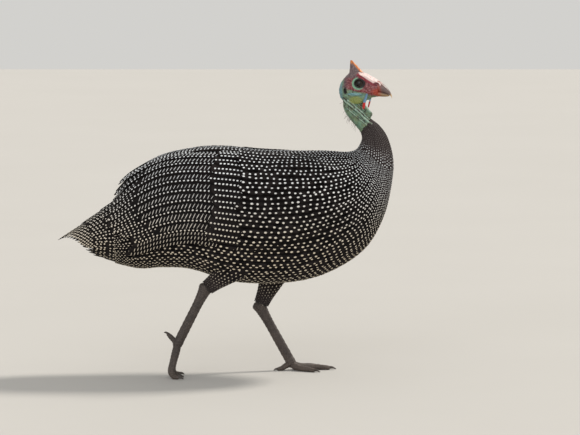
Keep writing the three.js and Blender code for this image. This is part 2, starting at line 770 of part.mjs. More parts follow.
const HEAD_FINISH = { head: "red_skin", casque: "horn", bill_upper: "bill", bill_lower: "bill" };
for (const [name, solid] of Object.entries(headParts()))
  head.add(meshOf(name, solid, HEAD_FINISH[name] ?? name.split("_")[0]));

for (const [name, leg] of Object.entries(LEGS)) {
  bird.add(meshOf("thigh_" + name, thigh(leg), "plumage"));
  bird.add(meshOf("shank_" + name, shank(leg), "leg"));
  bird.add(meshOf("foot_" + name, foot(leg), "leg"));
  for (const toe of Object.keys(leg.toes)) bird.add(meshOf(`claw_${name}_${toe}`, claw(leg, toe), "claw"));
}

export default bird;
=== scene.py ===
# The looks of the life-size guinea fowl: its skin, its coat of spotted feathers, horn, bill, eyes and legs.
#
# Shapes are worked out in millimetres and turned into metres when a mesh is made. +X runs towards the
# breast, +Y to the bird's left and +Z up. Places on the plumage are given as on the solids: a station along
# the body from 0 at the tail tip to 19 at the neck's top, an angle round it from the back, and a height
# above it.

import json
import math

import bmesh
import bpy
import numpy as np
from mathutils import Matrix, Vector, noise

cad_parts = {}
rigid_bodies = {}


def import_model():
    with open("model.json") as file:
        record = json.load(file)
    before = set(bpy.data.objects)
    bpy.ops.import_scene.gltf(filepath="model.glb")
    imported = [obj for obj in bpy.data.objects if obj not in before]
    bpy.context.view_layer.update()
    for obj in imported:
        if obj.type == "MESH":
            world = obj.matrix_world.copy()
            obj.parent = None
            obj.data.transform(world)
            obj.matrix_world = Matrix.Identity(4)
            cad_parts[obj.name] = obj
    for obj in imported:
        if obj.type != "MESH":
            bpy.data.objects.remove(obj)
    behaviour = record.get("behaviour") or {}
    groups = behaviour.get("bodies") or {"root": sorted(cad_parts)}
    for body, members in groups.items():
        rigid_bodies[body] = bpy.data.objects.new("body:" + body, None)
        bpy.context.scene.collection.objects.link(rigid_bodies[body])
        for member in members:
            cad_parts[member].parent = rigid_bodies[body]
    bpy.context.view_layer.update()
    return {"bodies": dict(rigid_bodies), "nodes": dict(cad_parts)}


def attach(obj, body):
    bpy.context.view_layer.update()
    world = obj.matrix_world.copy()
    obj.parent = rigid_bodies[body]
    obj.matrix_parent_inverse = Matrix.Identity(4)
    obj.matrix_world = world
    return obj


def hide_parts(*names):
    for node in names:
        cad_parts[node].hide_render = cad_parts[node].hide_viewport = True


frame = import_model()

SEED = 11
rng = np.random.default_rng(SEED)

MM = 0.001
NUDGE = 0.02  # the step in station or angle by which directions are measured
PATCH = 0.003  # the side of each feather's own square on the unwrap

# The plumage's outline: back x, back z, belly x, belly z and half width at each station.
OUTLINE = np.array([
    [-221, 178, -205, 160, 17],
    [-166, 214, -163, 152, 29],
    [-139, 234, -137, 145, 41],
    [-117, 262, -111, 140, 53],
    [-86, 284, -83, 142, 63],
    [-47, 294, -44, 140, 69],
    [-1, 296.5, 3, 125, 71],
    [45, 291.5, 47, 121, 71],
    [97, 291, 101, 125, 68],
    [133, 291, 146, 141, 60],
    [155, 289.5, 183, 168, 50],
    [167, 291, 206, 209, 39],
    [173, 296, 216, 253, 30],
    [176.5, 302, 217, 282, 23],
    [178.5, 309, 210.5, 308, 17],
    [173.5, 318, 200, 324, 13],
    [165, 328.5, 190, 332, 11.2],
    [157, 339, 182.5, 342, 10.6],
    [152.5, 348.5, 177.5, 352, 11],
    [152, 359, 175, 361.5, 10],
], float)
LAST = len(OUTLINE) - 1
SQUARENESS = 2.25  # of a cross-section: 2 is an ellipse
BELLY_SPREAD = 0.05  # how much wider the belly is than the back

HEAD = np.array([177, -4.5, 381.0])
HEAD_TURN = math.radians(-20)
EYE_X, EYE_Z = 0, -0.5


# Curves and lofts


def curve(stops, t):
    """Rows on the smooth curve through the stops, at t from 0 to 1."""
    stops = np.asarray(stops, float)
    last = len(stops) - 1
    ends = np.vstack([2 * stops[0] - stops[1], stops, 2 * stops[-1] - stops[-2]])
    u = np.clip(np.asarray(t, float), 0, 1) * last
    i = np.minimum(u.astype(int), last - 1)
    w = (u - i)[..., None]
    a, b, c, d = ends[i], ends[i + 1], ends[i + 2], ends[i + 3]
    return 0.5 * (2 * b + (c - a) * w + (2 * a - 5 * b + 4 * c - d) * w**2 + (3 * b - a - 3 * c + d) * w**3)


def profile(stops, t):
    """Numbers on the smooth curve through the stops."""
    return curve(np.asarray(stops, float)[:, None], t)[..., 0]


def smooth(x, low, high):
    x = np.clip((np.asarray(x, float) - low) / (high - low), 0, 1)
    return x * x * (3 - 2 * x)


def lerp(a, b, t):
    return a + (b - a) * t


def unit(v):
    return v / np.maximum(np.linalg.norm(v, axis=-1, keepdims=True), 1e-9)


def paired(a, b):
    """Two numbers or arrays as arrays of one shape."""
    return np.broadcast_arrays(np.asarray(a, float), np.asarray(b, float))


def once_round(sides):
    """Angles once round, in equal steps."""
    return 2 * np.pi * np.arange(sides) / sides


def from_back(sides):
    """Angles once round from the back: to pi on the left side, and from -pi on the right."""
    turn = once_round(sides)
    return np.where(turn > np.pi, turn - 2 * np.pi, turn)


def outline_point(station, angle):
    rows = curve(OUTLINE, station / LAST)
    back = np.stack([rows[..., 0], 0 * rows[..., 0], rows[..., 1]], -1)
    belly = np.stack([rows[..., 2], 0 * rows[..., 0], rows[..., 3]], -1)
    c, s = np.cos(angle), np.sin(angle)
    r = (np.abs(c) ** SQUARENESS + np.abs(s) ** SQUARENESS) ** (-1 / SQUARENESS)
    point = (back + belly) / 2 + (back - belly) / 2 * (c * r)[..., None]
    point[..., 1] += rows[..., 4] * s * r * (1 - BELLY_SPREAD * c)
    return point


def outline_frame(station, angle):
    """The point on the outline, its outward direction, and the direction towards the tail along it."""
    station, angle = paired(station, angle)
    high, low = np.minimum(station + NUDGE, LAST), np.maximum(station - NUDGE, 0)
    along = outline_point(high, angle) - outline_point(low, angle)
    around = outline_point(station, angle + NUDGE) - outline_point(station, angle - NUDGE)
    return outline_point(station, angle), unit(np.cross(along, around)), unit(-along)


def on_outline(station, angle, height):
    point, out, _ = outline_frame(station, angle)
    return point + out * np.broadcast_to(height, point.shape[:-1])[..., None]


def tube_mesh(rings):
    """A closed skin over rings of points, each ring running the same way round."""
    rings = np.asarray(rings)
    rows, columns = rings.shape[:2]
    faces = []
    for i in range(rows - 1):
        for j in range(columns):
            a, b = i * columns + j, i * columns + (j + 1) % columns
            faces.append((a, b, b + columns, a + columns))
    start, end, last = rows * columns, rows * columns + 1, (rows - 1) * columns
    for j in range(columns):
        k = (j + 1) % columns
        faces += [(start, k, j), (end, last + j, last + k)]
    return np.vstack([rings.reshape(-1, 3), rings[0].mean(0), rings[-1].mean(0)]), faces


def limb_rings(stops, sections, sides, across=(0, 1, 0)):
    """Oval rings along a path of stops [x, y, z, half height, half width], and the path's own rows."""
    stops = np.array([[*s, s[3]] if len(s) == 4 else s for s in stops], float)
    t = np.linspace(0, 1, sections + 1)
    rows = curve(stops, t)
    along = unit((curve(stops, t + 0.01) - curve(stops, t - 0.01))[:, :3])
    up = unit(np.cross(np.broadcast_to(across, along.shape), along))
    side = unit(np.cross(along, up))
    turn = once_round(sides)
    tall = up[:, None] * (rows[:, 3, None, None] * np.cos(turn)[None, :, None])
    wide = side[:, None] * (rows[:, 4, None, None] * np.sin(turn)[None, :, None])
    return rows[:, None, :3] + tall + wide, rows


def limb(stops, sections=16, sides=16, across=(0, 1, 0)):
    return tube_mesh(limb_rings(stops, sections, sides, across)[0])


def oval_loft(rows, sections, sides, share=0.5):
    """A loft along x of rounded sections [x, top, bottom, half width], widest at share of their height."""
    turn = once_round(sides)
    c = np.cos(turn)
    rings = []
    for x, top, bottom, half in curve(rows, np.linspace(0, 1, sections + 1)):
        middle = lerp(bottom, top, share)
        reach = np.where(c > 0, top - middle, middle - bottom)
        rings.append(np.stack([0 * c + x, half * np.sin(turn), middle + reach * c], -1))
    return tube_mesh(rings)


def merged(parts):
    """Several (points, faces) shells as one."""
    points, faces, count = [], [], 0
    for some, theirs in parts:
        points.append(np.asarray(some))
        faces += [tuple(i + count for i in face) for face in theirs]
        count += len(some)
    return np.vstack(points), faces


def about_z(points, angle):
    c, s = math.cos(angle), math.sin(angle)
    x, y, z = np.asarray(points, float).T
    return np.stack([c * x - s * y, s * x + c * y, z], -1)


def from_head(points):
    """From the head's own frame, where +X runs to the bill tip, to the bird's."""
    return about_z(points, HEAD_TURN) + HEAD


def into_head(points):
    return about_z(points - HEAD, -HEAD_TURN)


def mesh_of(name, points, faces, uv=None, unit_size=MM):
    """A mesh whose faces look outwards, with its UV maps given as a row for each point."""
    mesh = bpy.data.meshes.new(name)
    mesh.from_pydata((np.asarray(points) * unit_size).tolist(), [], [tuple(map(int, f)) for f in faces])
    corners = np.empty(len(mesh.loops), int)
    mesh.loops.foreach_get("vertex_index", corners)
    for title, rows in (uv or {}).items():
        layer = mesh.uv_layers.new(name=title)
        layer.data.foreach_set("uv", np.asarray(rows, np.float32)[corners].ravel())
    mesh.update()
    work = bmesh.new()
    work.from_mesh(mesh)
    bmesh.ops.recalc_face_normals(work, faces=work.faces)
    work.to_mesh(mesh)
    work.free()
    return mesh


def mark(mesh, title, values):
    """Keeps a number or a vector on every point of a mesh."""
    kind, field = ("FLOAT", "value") if np.ndim(values) == 1 else ("FLOAT_VECTOR", "vector")
    mesh.attributes.new(title, kind, "POINT").data.foreach_set(field, np.ravel(values))


def thing(name, mesh, finish=None, soft=True):
    """An object in the scene, with a finish where its mesh has none yet."""
    made = bpy.data.objects.new(name, mesh)
    bpy.context.scene.collection.objects.link(made)
    if finish:
        mesh.materials.append(finish)
    if soft:
        mesh.shade_smooth()
    return made


def model(name, shell, finish, uv=None):
    """An object made of one shell: its points and faces."""
    return thing(name, mesh_of(name, *shell, uv), finish)


def remeshed(name, shells, voxel, relax):
    """One closed skin round several overlapping shells, softened where they meet."""
    made = thing(name, mesh_of(name, *merged(shells)))
    remesh = made.modifiers.new("one skin", "REMESH")
    remesh.mode, remesh.voxel_size, remesh.use_smooth_shade = "VOXEL", voxel * MM, True
    soften = made.modifiers.new("soften", "SMOOTH")
    soften.factor, soften.iterations = 0.5, relax
    seen = made.evaluated_get(bpy.context.evaluated_depsgraph_get())
    final = bpy.data.meshes.new_from_object(seen)
    bpy.data.objects.remove(made)
    points = np.empty(len(final.vertices) * 3)
    final.vertices.foreach_get("co", points)
    normals = np.empty(len(final.vertices) * 3)
    final.vertices.foreach_get("normal", normals)
    faces = [tuple(p.vertices) for p in final.polygons]
    bpy.data.meshes.remove(final)
    return points.reshape(-1, 3) / MM, normals.reshape(-1, 3), faces


# Shader maths: an expression on values adds its nodes


class Tree:
    """A node tree whose nodes take numbers, colours, values and other nodes' outputs."""

    def __init__(self, tree):
        self.tree = tree

    def node(self, kind, settings=None, inputs=None):
        made = self.tree.nodes.new(kind)
        for key, value in (settings or {}).items():
            setattr(made, key, value)
        for key, value in (inputs or {}).items():
            self.feed(made.inputs[key], value)
        return made

    def feed(self, socket, value):
        if isinstance(value, Value):
            value = value.socket
        if isinstance(value, bpy.types.NodeSocket):
            self.tree.links.new(value, socket)
        elif socket.type == "RGBA":
            socket.default_value = (*value, 1)
        else:
            socket.default_value = value


def maths(operation, reflected=False):
    """A method of Value that adds one node, on the value and any other, which comes first if reflected."""

    def method(self, *others):
        terms = (*others, self) if reflected else (self, *others)
        made = self.finish.node("ShaderNodeMath", {"operation": operation}, dict(enumerate(terms)))
        return Value(self.finish, made.outputs[0])

    return method


class Value:
    """A number of a finish, which may differ from place to place."""

    __add__ = __radd__ = maths("ADD")
    __sub__ = maths("SUBTRACT")
    __rsub__ = maths("SUBTRACT", reflected=True)
    __mul__ = __rmul__ = maths("MULTIPLY")
    __abs__ = maths("ABSOLUTE")
    least = maths("MINIMUM")
    most = maths("MAXIMUM")
    wave = maths("SINE")

    def __init__(self, finish, socket):
        self.finish, self.socket = finish, socket

    def step(self, low, high):
        """0 below low and 1 above high, smooth between; the other way round if low is the larger."""
        settings = {"interpolation_type": "SMOOTHSTEP"}
        inputs = {"Value": self, "From Min": low, "From Max": high}
        return Value(self.finish, self.finish.node("ShaderNodeMapRange", settings, inputs).outputs[0])


class Finish(Tree):
    """One material, with its Principled shader as the only surface."""

    def __init__(self, name, **constants):
        self.material = bpy.data.materials.new(name)
        self.material.use_nodes = True
        super().__init__(self.material.node_tree)
        self.shader = self.tree.nodes["Principled BSDF"]
        for socket, value in constants.items():
            self.shader.inputs[socket.replace("_", " ")].default_value = value
        self.place = self.node("ShaderNodeTexCoord").outputs["Object"]

    def attribute(self, name):
        return Value(self, self.node("ShaderNodeAttribute", {"attribute_name": name}).outputs["Fac"])

    def split(self, vector):
        outputs = self.node("ShaderNodeSeparateXYZ", {}, {0: vector}).outputs
        return [Value(self, outputs[i]) for i in range(3)]

    def mapped(self, location=(0, 0, 0), rotation=(0, 0, 0), scale=(1, 1, 1), vector=None):
        inputs = {"Vector": vector or self.place, "Location": location, "Rotation": rotation}
        return self.node("ShaderNodeMapping", {}, {**inputs, "Scale": scale}).outputs[0]

    def noise(self, size, detail=3.0, rough=0.55, vector=None):
        """Soft noise whose blotches are about size metres across."""
        inputs = {"Vector": vector or self.place, "Scale": 1 / size, "Detail": detail, "Roughness": rough}
        return Value(self, self.node("ShaderNodeTexNoise", {}, inputs).outputs[0])

    def cells(self, size, feature="F1", randomness=1.0, vector=None):
        """Distance from the middles or the edges of cells about size metres across."""
        inputs = {"Vector": vector or self.place, "Scale": 1 / size, "Randomness": randomness}
        made = self.node("ShaderNodeTexVoronoi", {"feature": feature}, inputs)
        return Value(self, made.outputs["Distance"])

    def far(self, centre, vector, stretch):
        """Distance of vector from centre, with each axis counted stretch times."""
        for operation, other in (("SUBTRACT", centre), ("MULTIPLY", stretch)):
            settings = {"operation": operation}
            vector = self.node("ShaderNodeVectorMath", settings, {0: vector, 1: other}).outputs[0]
        made = self.node("ShaderNodeVectorMath", {"operation": "LENGTH"}, {0: vector})
        return Value(self, made.outputs["Value"])

    def blend(self, mask, under, over):
        """Colour over laid on colour under where mask is 1."""
        return self.node("ShaderNodeMix", {"data_type": "RGBA"}, {0: mask, 6: under, 7: over}).outputs[2]

    def surface(self, colour, roughness=None, height=None, depth=0.0003, strength=0.5):
        self.feed(self.shader.inputs["Base Color"], colour)
        if roughness is not None:
            self.feed(self.shader.inputs["Roughness"], roughness)
        if height is not None:
            inputs = {"Height": height, "Distance": depth, "Strength": strength}
            self.feed(self.shader.inputs["Normal"], self.node("ShaderNodeBump", {}, inputs).outputs[0])
        return self.material


class HeadFinish(Finish):
    """A finish that also knows the head's own coordinates, in metres."""

    def __init__(self, name, **constants):
        super().__init__(name, **constants)
        moved = self.mapped(location=tuple(-v * MM for v in HEAD))
        self.head = self.mapped(rotation=(0, 0, -HEAD_TURN), vector=moved)
        self.x, _, self.z = self.split(self.head)

    def oval(self, x, z, stretch_x, stretch_z, outer, inner):
        """A mask on both sides of the head: 0 beyond outer metres from a place and 1 within inner."""
        return self.far((x, 0, z), self.head, (stretch_x, 0, stretch_z)).step(outer, inner)


# Finishes


def feather_finish():
    finish = Finish("dark feather", Specular_IOR_Level=0.07)
    across, along, _ = finish.split(finish.node("ShaderNodeUVMap", {"uv_map": "vane"}).outputs[0])
    tone = finish.attribute("tone")
    middle = abs(across - 0.5) * 2
    barbs = (along * 60 + middle * 26).wave() * 0.5 + 0.5
    shaft = 1 - middle.step(0.03, 0.10)
    edge = middle.step(0.72, 1.0).most(along.step(0.82, 1.0))
    streak = finish.noise(0.0016, 2.0)
    dark = finish.blend(tone, (0.0035, 0.0030, 0.0033), (0.085, 0.068, 0.066))
    warm = finish.blend(tone, (0.014, 0.011, 0.010), (0.160, 0.130, 0.122))
    colour = finish.blend(edge * 0.55 + (streak - 0.5) * 0.5, dark, warm)
    colour = finish.blend(shaft * 0.30, colour, (0.035, 0.028, 0.024))
    return finish.surface(colour, 0.56 + (streak - 0.5) * 0.2, barbs, depth=0.00015, strength=0.35)


def spot_finish():
    """Spots are cream below and cooler above: a painted reflection of the sky on top and painted warm
    bounce light below.
    """
    finish = Finish("pale spot", Specular_IOR_Level=0.3)
    tone = finish.attribute("tone")
    height = finish.split(finish.place)[2]
    grain = finish.noise(0.002, 2.0)
    # Painted light by height: warm bounce light low on the bird, a cool sky reflection high up.
    colour = finish.blend(height.step(0.15, 0.285), (0.74, 0.64, 0.49), (0.84, 0.87, 0.90))
    colour = finish.blend(tone, colour, (0.20, 0.18, 0.175))
    colour = finish.blend((grain - 0.4) * 0.3, colour, (0.50, 0.46, 0.40))
    return finish.surface(colour, 0.62)


def skin_finish():
    finish = HeadFinish("bare skin", Specular_IOR_Level=0.4, Subsurface_Weight=0.06, Subsurface_Scale=0.002)
    finish.shader.inputs["Subsurface Radius"].default_value = (1.0, 0.45, 0.3)
    blend, oval, x, z = finish.blend, finish.oval, finish.x, finish.z
    bird_x, _, bird_z = finish.split(finish.place)
    fine = finish.noise(0.0011)
    broad = finish.noise(0.006)
    blot = finish.noise(0.0032, 2.0, vector=finish.mapped(scale=(1, 1, 0.6)))
    pores = finish.cells(0.0016, "SMOOTH_F1", vector=finish.mapped(scale=(1, 1, 0.8)))
    fold = finish.attribute("fold")
    hollow = finish.attribute("hollow")

    # The neck: blue-green, olive in places, with dark broken streaks beside its folds, painted shade in the
    # hollows beside them and a painted highlight along their crests.
    neck = blend((broad - 0.38) * 3, (0.115, 0.235, 0.165), (0.185, 0.225, 0.105))
    neck = blend((fine - 0.42) * 1.6, neck, (0.30, 0.40, 0.29))
    shade = (broad * 0.6 + blot * 0.6).step(0.60, 0.74)
    neck = blend(shade * 0.55, neck, (0.060, 0.070, 0.045))
    streaks = (blot + hollow * 0.20).step(0.60, 0.70)
    neck = blend(streaks * 0.85, neck, (0.035, 0.026, 0.022))
    # Painted shade in the hollows beside the neck folds.
    neck = blend(hollow * 0.45, neck, (0.030, 0.034, 0.030))
    # A painted highlight along the crests of the neck folds and the throat fold's upper edge, broken up by
    # noise.
    highlight_breakup = (broad * 0.5 + blot * 0.5).step(0.60, 0.42) * 0.5 + 0.12
    neck = blend(fold * highlight_breakup, neck, blend((fine - 0.3) * 1.4, (0.40, 0.58, 0.48), (0.62, 0.70, 0.62)))

    # The face: dull red and mauve with pale and dark flecks, warmer at the mouth.
    flecks = finish.noise(0.0021, rough=0.65)
    face = blend((fine - 0.3) * 1.5, (0.150, 0.022, 0.030), (0.31, 0.075, 0.070))
    face = blend(flecks.step(0.52, 0.62) * 0.75, face, (0.34, 0.18, 0.18))
    face = blend(flecks.step(0.47, 0.37) * 0.8, face, (0.050, 0.016, 0.026))
    mouth = finish.far((0.022, 0, -0.0115), finish.head, (1, 0.35, 1.5)) + (flecks - 0.5) * 0.006
    face = blend(mouth.step(0.0095, 0.004) * 0.75, face, (0.42, 0.045, 0.014))
    crown = z.step(0.003, 0.011) * x.step(0.002, -0.008)
    mauve = blend((flecks - 0.35) * 2.5, (0.075, 0.050, 0.062), (0.20, 0.13, 0.14))
    face = blend(crown.most(x.step(-0.012, -0.022) * 0.8), face, mauve)

    # Where the red of the face ends and the blue-green of the throat begins.
    border = (z + 0.0118 + x * 0.22 + (broad - 0.5) * 0.007).step(-0.0016, 0.0016)
    behind = (x + 0.0225 + (broad - 0.5) * 0.009).step(-0.0025, 0.0025)
    colour = blend(border * behind, neck, face)
    blue = blend((fine - 0.3) * 1.5, (0.12, 0.30, 0.38), (0.30, 0.50, 0.50))
    colour = blend(oval(-0.0062, -0.0148, 0.36, 2.0, 0.0044, 0.0028) * 0.75, colour, blue)
    lobe = blend((fine - 0.35) * 1.8, (0.19, 0.23, 0.045), (0.34, 0.36, 0.12))
    colour = blend(oval(-0.0045, -0.0225, 0.8, 1.5, 0.0086, 0.0058) * 0.92, colour, lobe)
    colour = blend(oval(-0.029, -0.012, 1, 0.4, 0.0075, 0.0045) * 0.7, colour, (0.13, 0.27, 0.33))

    # The brow and the skin over the nostril are swollen, with a painted highlight along their top and deep
    # red below them.
    line = z + x * 0.60 + (fine - 0.5) * 0.0016
    below = line.step(0.0066, 0.0080) * x.step(-0.0115, -0.0085) * x.step(0.0215, 0.018)
    red = blend((fine - 0.3) * 1.4, (0.20, 0.006, 0.020), (0.34, 0.03, 0.05))
    colour = blend(below * 0.92, colour, red)
    # A painted highlight along the top of the brow and of the skin over the nostril.
    ridge_highlight = line.step(0.0098, 0.0114) * x.step(-0.0105, -0.006)
    pale = blend((fine - 0.35) * 1.6, (0.92, 0.78, 0.74), (0.70, 0.42, 0.40))
    colour = blend(ridge_highlight * 0.9, colour, pale)
    colour = blend(oval(0.0214, -0.0012, 0.62, 1.0, 0.0028, 0.0019) * 0.9, colour, (0.15, 0.006, 0.016))
    # Painted shade inside the nostril's slot: nearly black.
    colour = blend(oval(0.0228, -0.0028, 0.6, 1.4, 0.0015, 0.0008) * 0.95, colour, (0.004, 0.003, 0.003))

    # The lids: a pale blue-green ring behind and below, dark red above, and nearly black at the eye.
    ring = finish.far((-0.0004, 0, -0.0008), finish.head, (1, 0.0, 1.04))
    outer = (ring + (fine - 0.5) * 0.0016 + x * 0.04).step(0.0090, 0.0078)
    low = (z * 0.45 + x * 0.9 + (fine - 0.5) * 0.004).step(0.0036, 0.0006)
    green = blend((fine - 0.3) * 1.5, (0.14, 0.36, 0.23), (0.32, 0.56, 0.38))
    colour = blend(outer * 0.9, colour, blend(low, (0.10, 0.012, 0.018), green))
    lid = oval(0.0010, -0.0004, 0.90, 1.0, 0.0070, 0.0061)
    colour = blend(lid * 0.97, colour, (0.006, 0.006, 0.006))

    # The ear's opening, painted nearly black as shade, and dark spots round it.
    colour = blend(oval(-0.0188, -0.0106, 1, 0.55, 0.0034, 0.0016), colour, (0.012, 0.008, 0.008))
    spots = finish.cells(0.0042, randomness=0.9).step(0.22, 0.15)
    colour = blend(spots * oval(-0.018, -0.017, 1, 0.7, 0.010, 0.007), colour, (0.02, 0.012, 0.016))

    # Under the feathers the skin is dark, with the coat's pale spots.
    edge = bird_z - 0.3032 - (bird_x - 0.172) * 1.41 + (finish.noise(0.004, 2.0) - 0.5) * 0.008
    bare = edge.step(-0.0015, 0.0015) * bird_z.step(0.298, 0.302)
    dots = finish.cells(0.0066, randomness=0.35).step(0.30, 0.20)
    under = blend(dots * bird_x.step(0.17, 0.13), (0.010, 0.009, 0.010), (0.55, 0.50, 0.42))
    colour = blend(bare, under, colour)
    colour = blend((pores - 0.45) * 0.9 * bare, colour, (0.04, 0.03, 0.035))
    return finish.surface(colour, 0.5 + (fine - 0.5) * 0.3, pores * 1.2 + fine * 0.7, 0.0004, 0.7)


def wattle_finish():
    finish = HeadFinish("wattle", Specular_IOR_Level=0.45, Subsurface_Weight=0.08, Subsurface_Scale=0.002)
    fine = finish.noise(0.0009)
    tip = (finish.z + (fine - 0.5) * 0.002).step(-0.0245, -0.0258)
    blue = finish.blend((fine - 0.4) * 1.6, (0.12, 0.25, 0.40), (0.28, 0.40, 0.48))
    red = finish.blend((fine - 0.4) * 1.5, (0.50, 0.006, 0.008), (0.68, 0.05, 0.04))
    return finish.surface(finish.blend(tip, blue, red), 0.42, fine)


def horn_finish():
    """The helmet: grey-brown horn with upright streaks, orange along its front edge and at its tip."""
    finish = HeadFinish("helmet horn", Specular_IOR_Level=0.5)
    x, z = finish.x, finish.z
    streak = finish.noise(0.0011, vector=finish.mapped(scale=(1, 1, 0.16), vector=finish.head))
    fine = finish.noise(0.0007, 2.0)
    side = finish.blend((streak - 0.38) * 3.2, (0.075, 0.045, 0.048), (0.24, 0.165, 0.165))
    front = (x + z * 1.03 - 0.0158 + (fine - 0.5) * 0.002).step(-0.0042, -0.0014) * z.step(0.0125, 0.0145)
    tip = (z + (streak - 0.5) * 0.006).step(0.0225, 0.0268)
    orange = finish.blend((streak - 0.4) * 2.4, (0.52, 0.115, 0.012), (0.80, 0.34, 0.08))
    colour = finish.blend(front.most(tip), side, orange)
    return finish.surface(colour, 0.42 + (fine - 0.5) * 0.3, streak, depth=0.0004)


def bill_finish():
    """The bill: brown horn, dull red at its root, yellow-brown along its lower half and at its point, with
    a painted highlight along its ridge.
    """
    finish = HeadFinish("bill horn", Specular_IOR_Level=0.5, Coat_Roughness=0.3)
    blend, x, z = finish.blend, finish.x, finish.z
    streak = finish.noise(0.0012, vector=finish.mapped(scale=(0.25, 1, 1), vector=finish.head))
    fine = finish.noise(0.0007, 2.0)
    root = (x + (fine - 0.5) * 0.004).step(0.030, 0.0235)
    point = (x * 0.8 - z * 0.6 + (streak - 0.5) * 0.003).step(0.0385, 0.0425)
    low = (z + 0.011 + (x - 0.02) * 0.22).step(0.001, -0.0015)
    colour = blend((streak - 0.35) * 2.2, (0.105, 0.062, 0.058), (0.22, 0.15, 0.135))
    colour = blend(low * 0.85, colour, blend((streak - 0.35) * 2, (0.24, 0.13, 0.05), (0.44, 0.29, 0.13)))
    colour = blend(root * 0.85, colour, blend((fine - 0.3) * 1.5, (0.26, 0.03, 0.02), (0.46, 0.09, 0.03)))
    # A painted highlight along the top of the bill.
    ridge_highlight = (z + x * 0.62 + (fine - 0.5) * 0.001).step(0.0160, 0.0172)
    colour = blend(ridge_highlight * 0.5, colour, (0.45, 0.33, 0.28))
    colour = blend(point * 0.85, colour, (0.60, 0.38, 0.17))
    nostril = finish.oval(0.0232, -0.0010, 0.6, 1.2, 0.0028, 0.0018)
    colour = blend(nostril * 0.9, colour, (0.15, 0.008, 0.018))
    return finish.surface(colour, 0.36 + (fine - 0.5) * 0.25, streak, strength=0.35)


def eye_finish(centre):
    """Nearly black, with a dark brown ring round the pupil; centre is the eye's, in the head's metres."""
    finish = HeadFinish("eye", Specular_IOR_Level=0.1, Coat_Roughness=0.02, Coat_Weight=0.55)
    ring = finish.far(tuple(centre), finish.head, (1, 0, 1))
    iris = finish.blend((finish.noise(0.0009) - 0.3) * 1.6, (0.010, 0.005, 0.003), (0.035, 0.016, 0.008))
    middle = finish.blend(ring.step(0.0031, 0.0027), iris, (0.002, 0.002, 0.002))
    return finish.surface(finish.blend(ring.step(0.0050, 0.0056) * 0.8, middle, (0.02, 0.016, 0.014)), 0.08)


def leg_finish():
    finish = Finish("scaled leg", Specular_IOR_Level=0.4)
    fine = finish.noise(0.0012)
    broad = finish.noise(0.011)
    scales = finish.cells(0.0021, "DISTANCE_TO_EDGE", 0.55)
    z = finish.split(finish.place)[2]
    colour = finish.blend((broad - 0.35) * 2.0, (0.050, 0.038, 0.033), (0.105, 0.080, 0.066))
    colour = finish.blend((fine - 0.45) * 1.3, colour, (0.17, 0.14, 0.12))
    colour = finish.blend(z.step(0.03, 0.0) * 0.25, colour, (0.22, 0.17, 0.13))
    colour = finish.blend(scales.step(0.16, 0.03) * 0.7, colour, (0.020, 0.015, 0.014))
    return finish.surface(colour, 0.58 + (fine - 0.5) * 0.3, scales.least(0.3) + fine * 0.15, 0.0006, 0.7)


def claw_finish():
    finish = Finish("claw horn", Specular_IOR_Level=0.5)
    streak = finish.noise(0.0012)
    colour = finish.blend((streak - 0.35) * 2.0, (0.030, 0.023, 0.020), (0.11, 0.085, 0.065))
    return finish.surface(colour, 0.4 + (streak - 0.5) * 0.3, streak, depth=0.0002, strength=0.4)


def hair_finish():
    finish = Finish("nape hair", Roughness=0.5)
    return finish.surface(finish.blend(finish.noise(0.004), (0.02, 0.015, 0.013), (0.07, 0.05, 0.04)))


def floor_finish():
    finish = Finish("plain floor", Roughness=0.8)
    return finish.surface(finish.blend(finish.noise(0.4), (0.50, 0.485, 0.46), (0.53, 0.515, 0.49)))


# Scattering: one shape on every point of a mesh, turned and sized by the point's attributes


def scatter_tree():
    build = Tree(bpy.data.node_groups.new("set feathers", "GeometryNodeTree"))
    kinds = {"Geometry": "Geometry", "Feather": "Object", "Patch width": "Float", "Finish": "Material"}
    for title, kind in kinds.items():
        build.tree.interface.new_socket(title, in_out="INPUT", socket_type="NodeSocket" + kind)
    build.tree.interface.new_socket("Geometry", in_out="OUTPUT", socket_type="NodeSocketGeometry")

    def node(kind, inputs, **settings):
        return build.node(kind, settings, inputs).outputs

    def kept(title):
        made = node("GeometryNodeInputNamedAttribute", {"Name": title}, data_type="FLOAT_VECTOR")
        return made["Attribute"]

    given = node("NodeGroupInput", {})
    feather = node("GeometryNodeObjectInfo", {"Object": given["Feather"], "As Instance": True})
    placed = {
        "Points": given["Geometry"],
        "Instance": feather["Geometry"],
        "Rotation": node("FunctionNodeEulerToRotation", {"Euler": kept("turn")})[0],
        "Scale": kept("size"),
    }
    feathers = node("GeometryNodeInstanceOnPoints", placed)[0]
    real = node("GeometryNodeRealizeInstances", {"Geometry": feathers})[0]
    width = given["Patch width"]
    patch = node("ShaderNodeVectorMath", {"Vector": kept("patch"), "Scale": width}, operation="SCALE")[0]
    corner = node("ShaderNodeVectorMath", {0: patch, 1: kept("root")}, operation="ADD")[0]
    unwrap = {"Geometry": real, "Name": "OFBake", "Value": corner}
    stored = node("GeometryNodeStoreNamedAttribute", unwrap, data_type="FLOAT2", domain="CORNER")[0]
    painted = node("GeometryNodeSetMaterial", {"Geometry": stored, "Material": given["Finish"]})[0]
    build.node("NodeGroupOutput", {}, {0: painted})
    return build.tree


FEATHER_TREE = scatter_tree()


def euler_of(along, out):
    """Turns that lay a shape's +X along one direction and its +Z out of the surface."""
    side = unit(np.cross(out, along))
    out = unit(np.cross(along, side))
    ry = -np.arcsin(np.clip(along[:, 2], -1, 1))
    rx = np.arctan2(side[:, 2], out[:, 2])
    rz = np.arctan2(along[:, 1], along[:, 0])
    return np.stack([rx, ry, rz], -1)


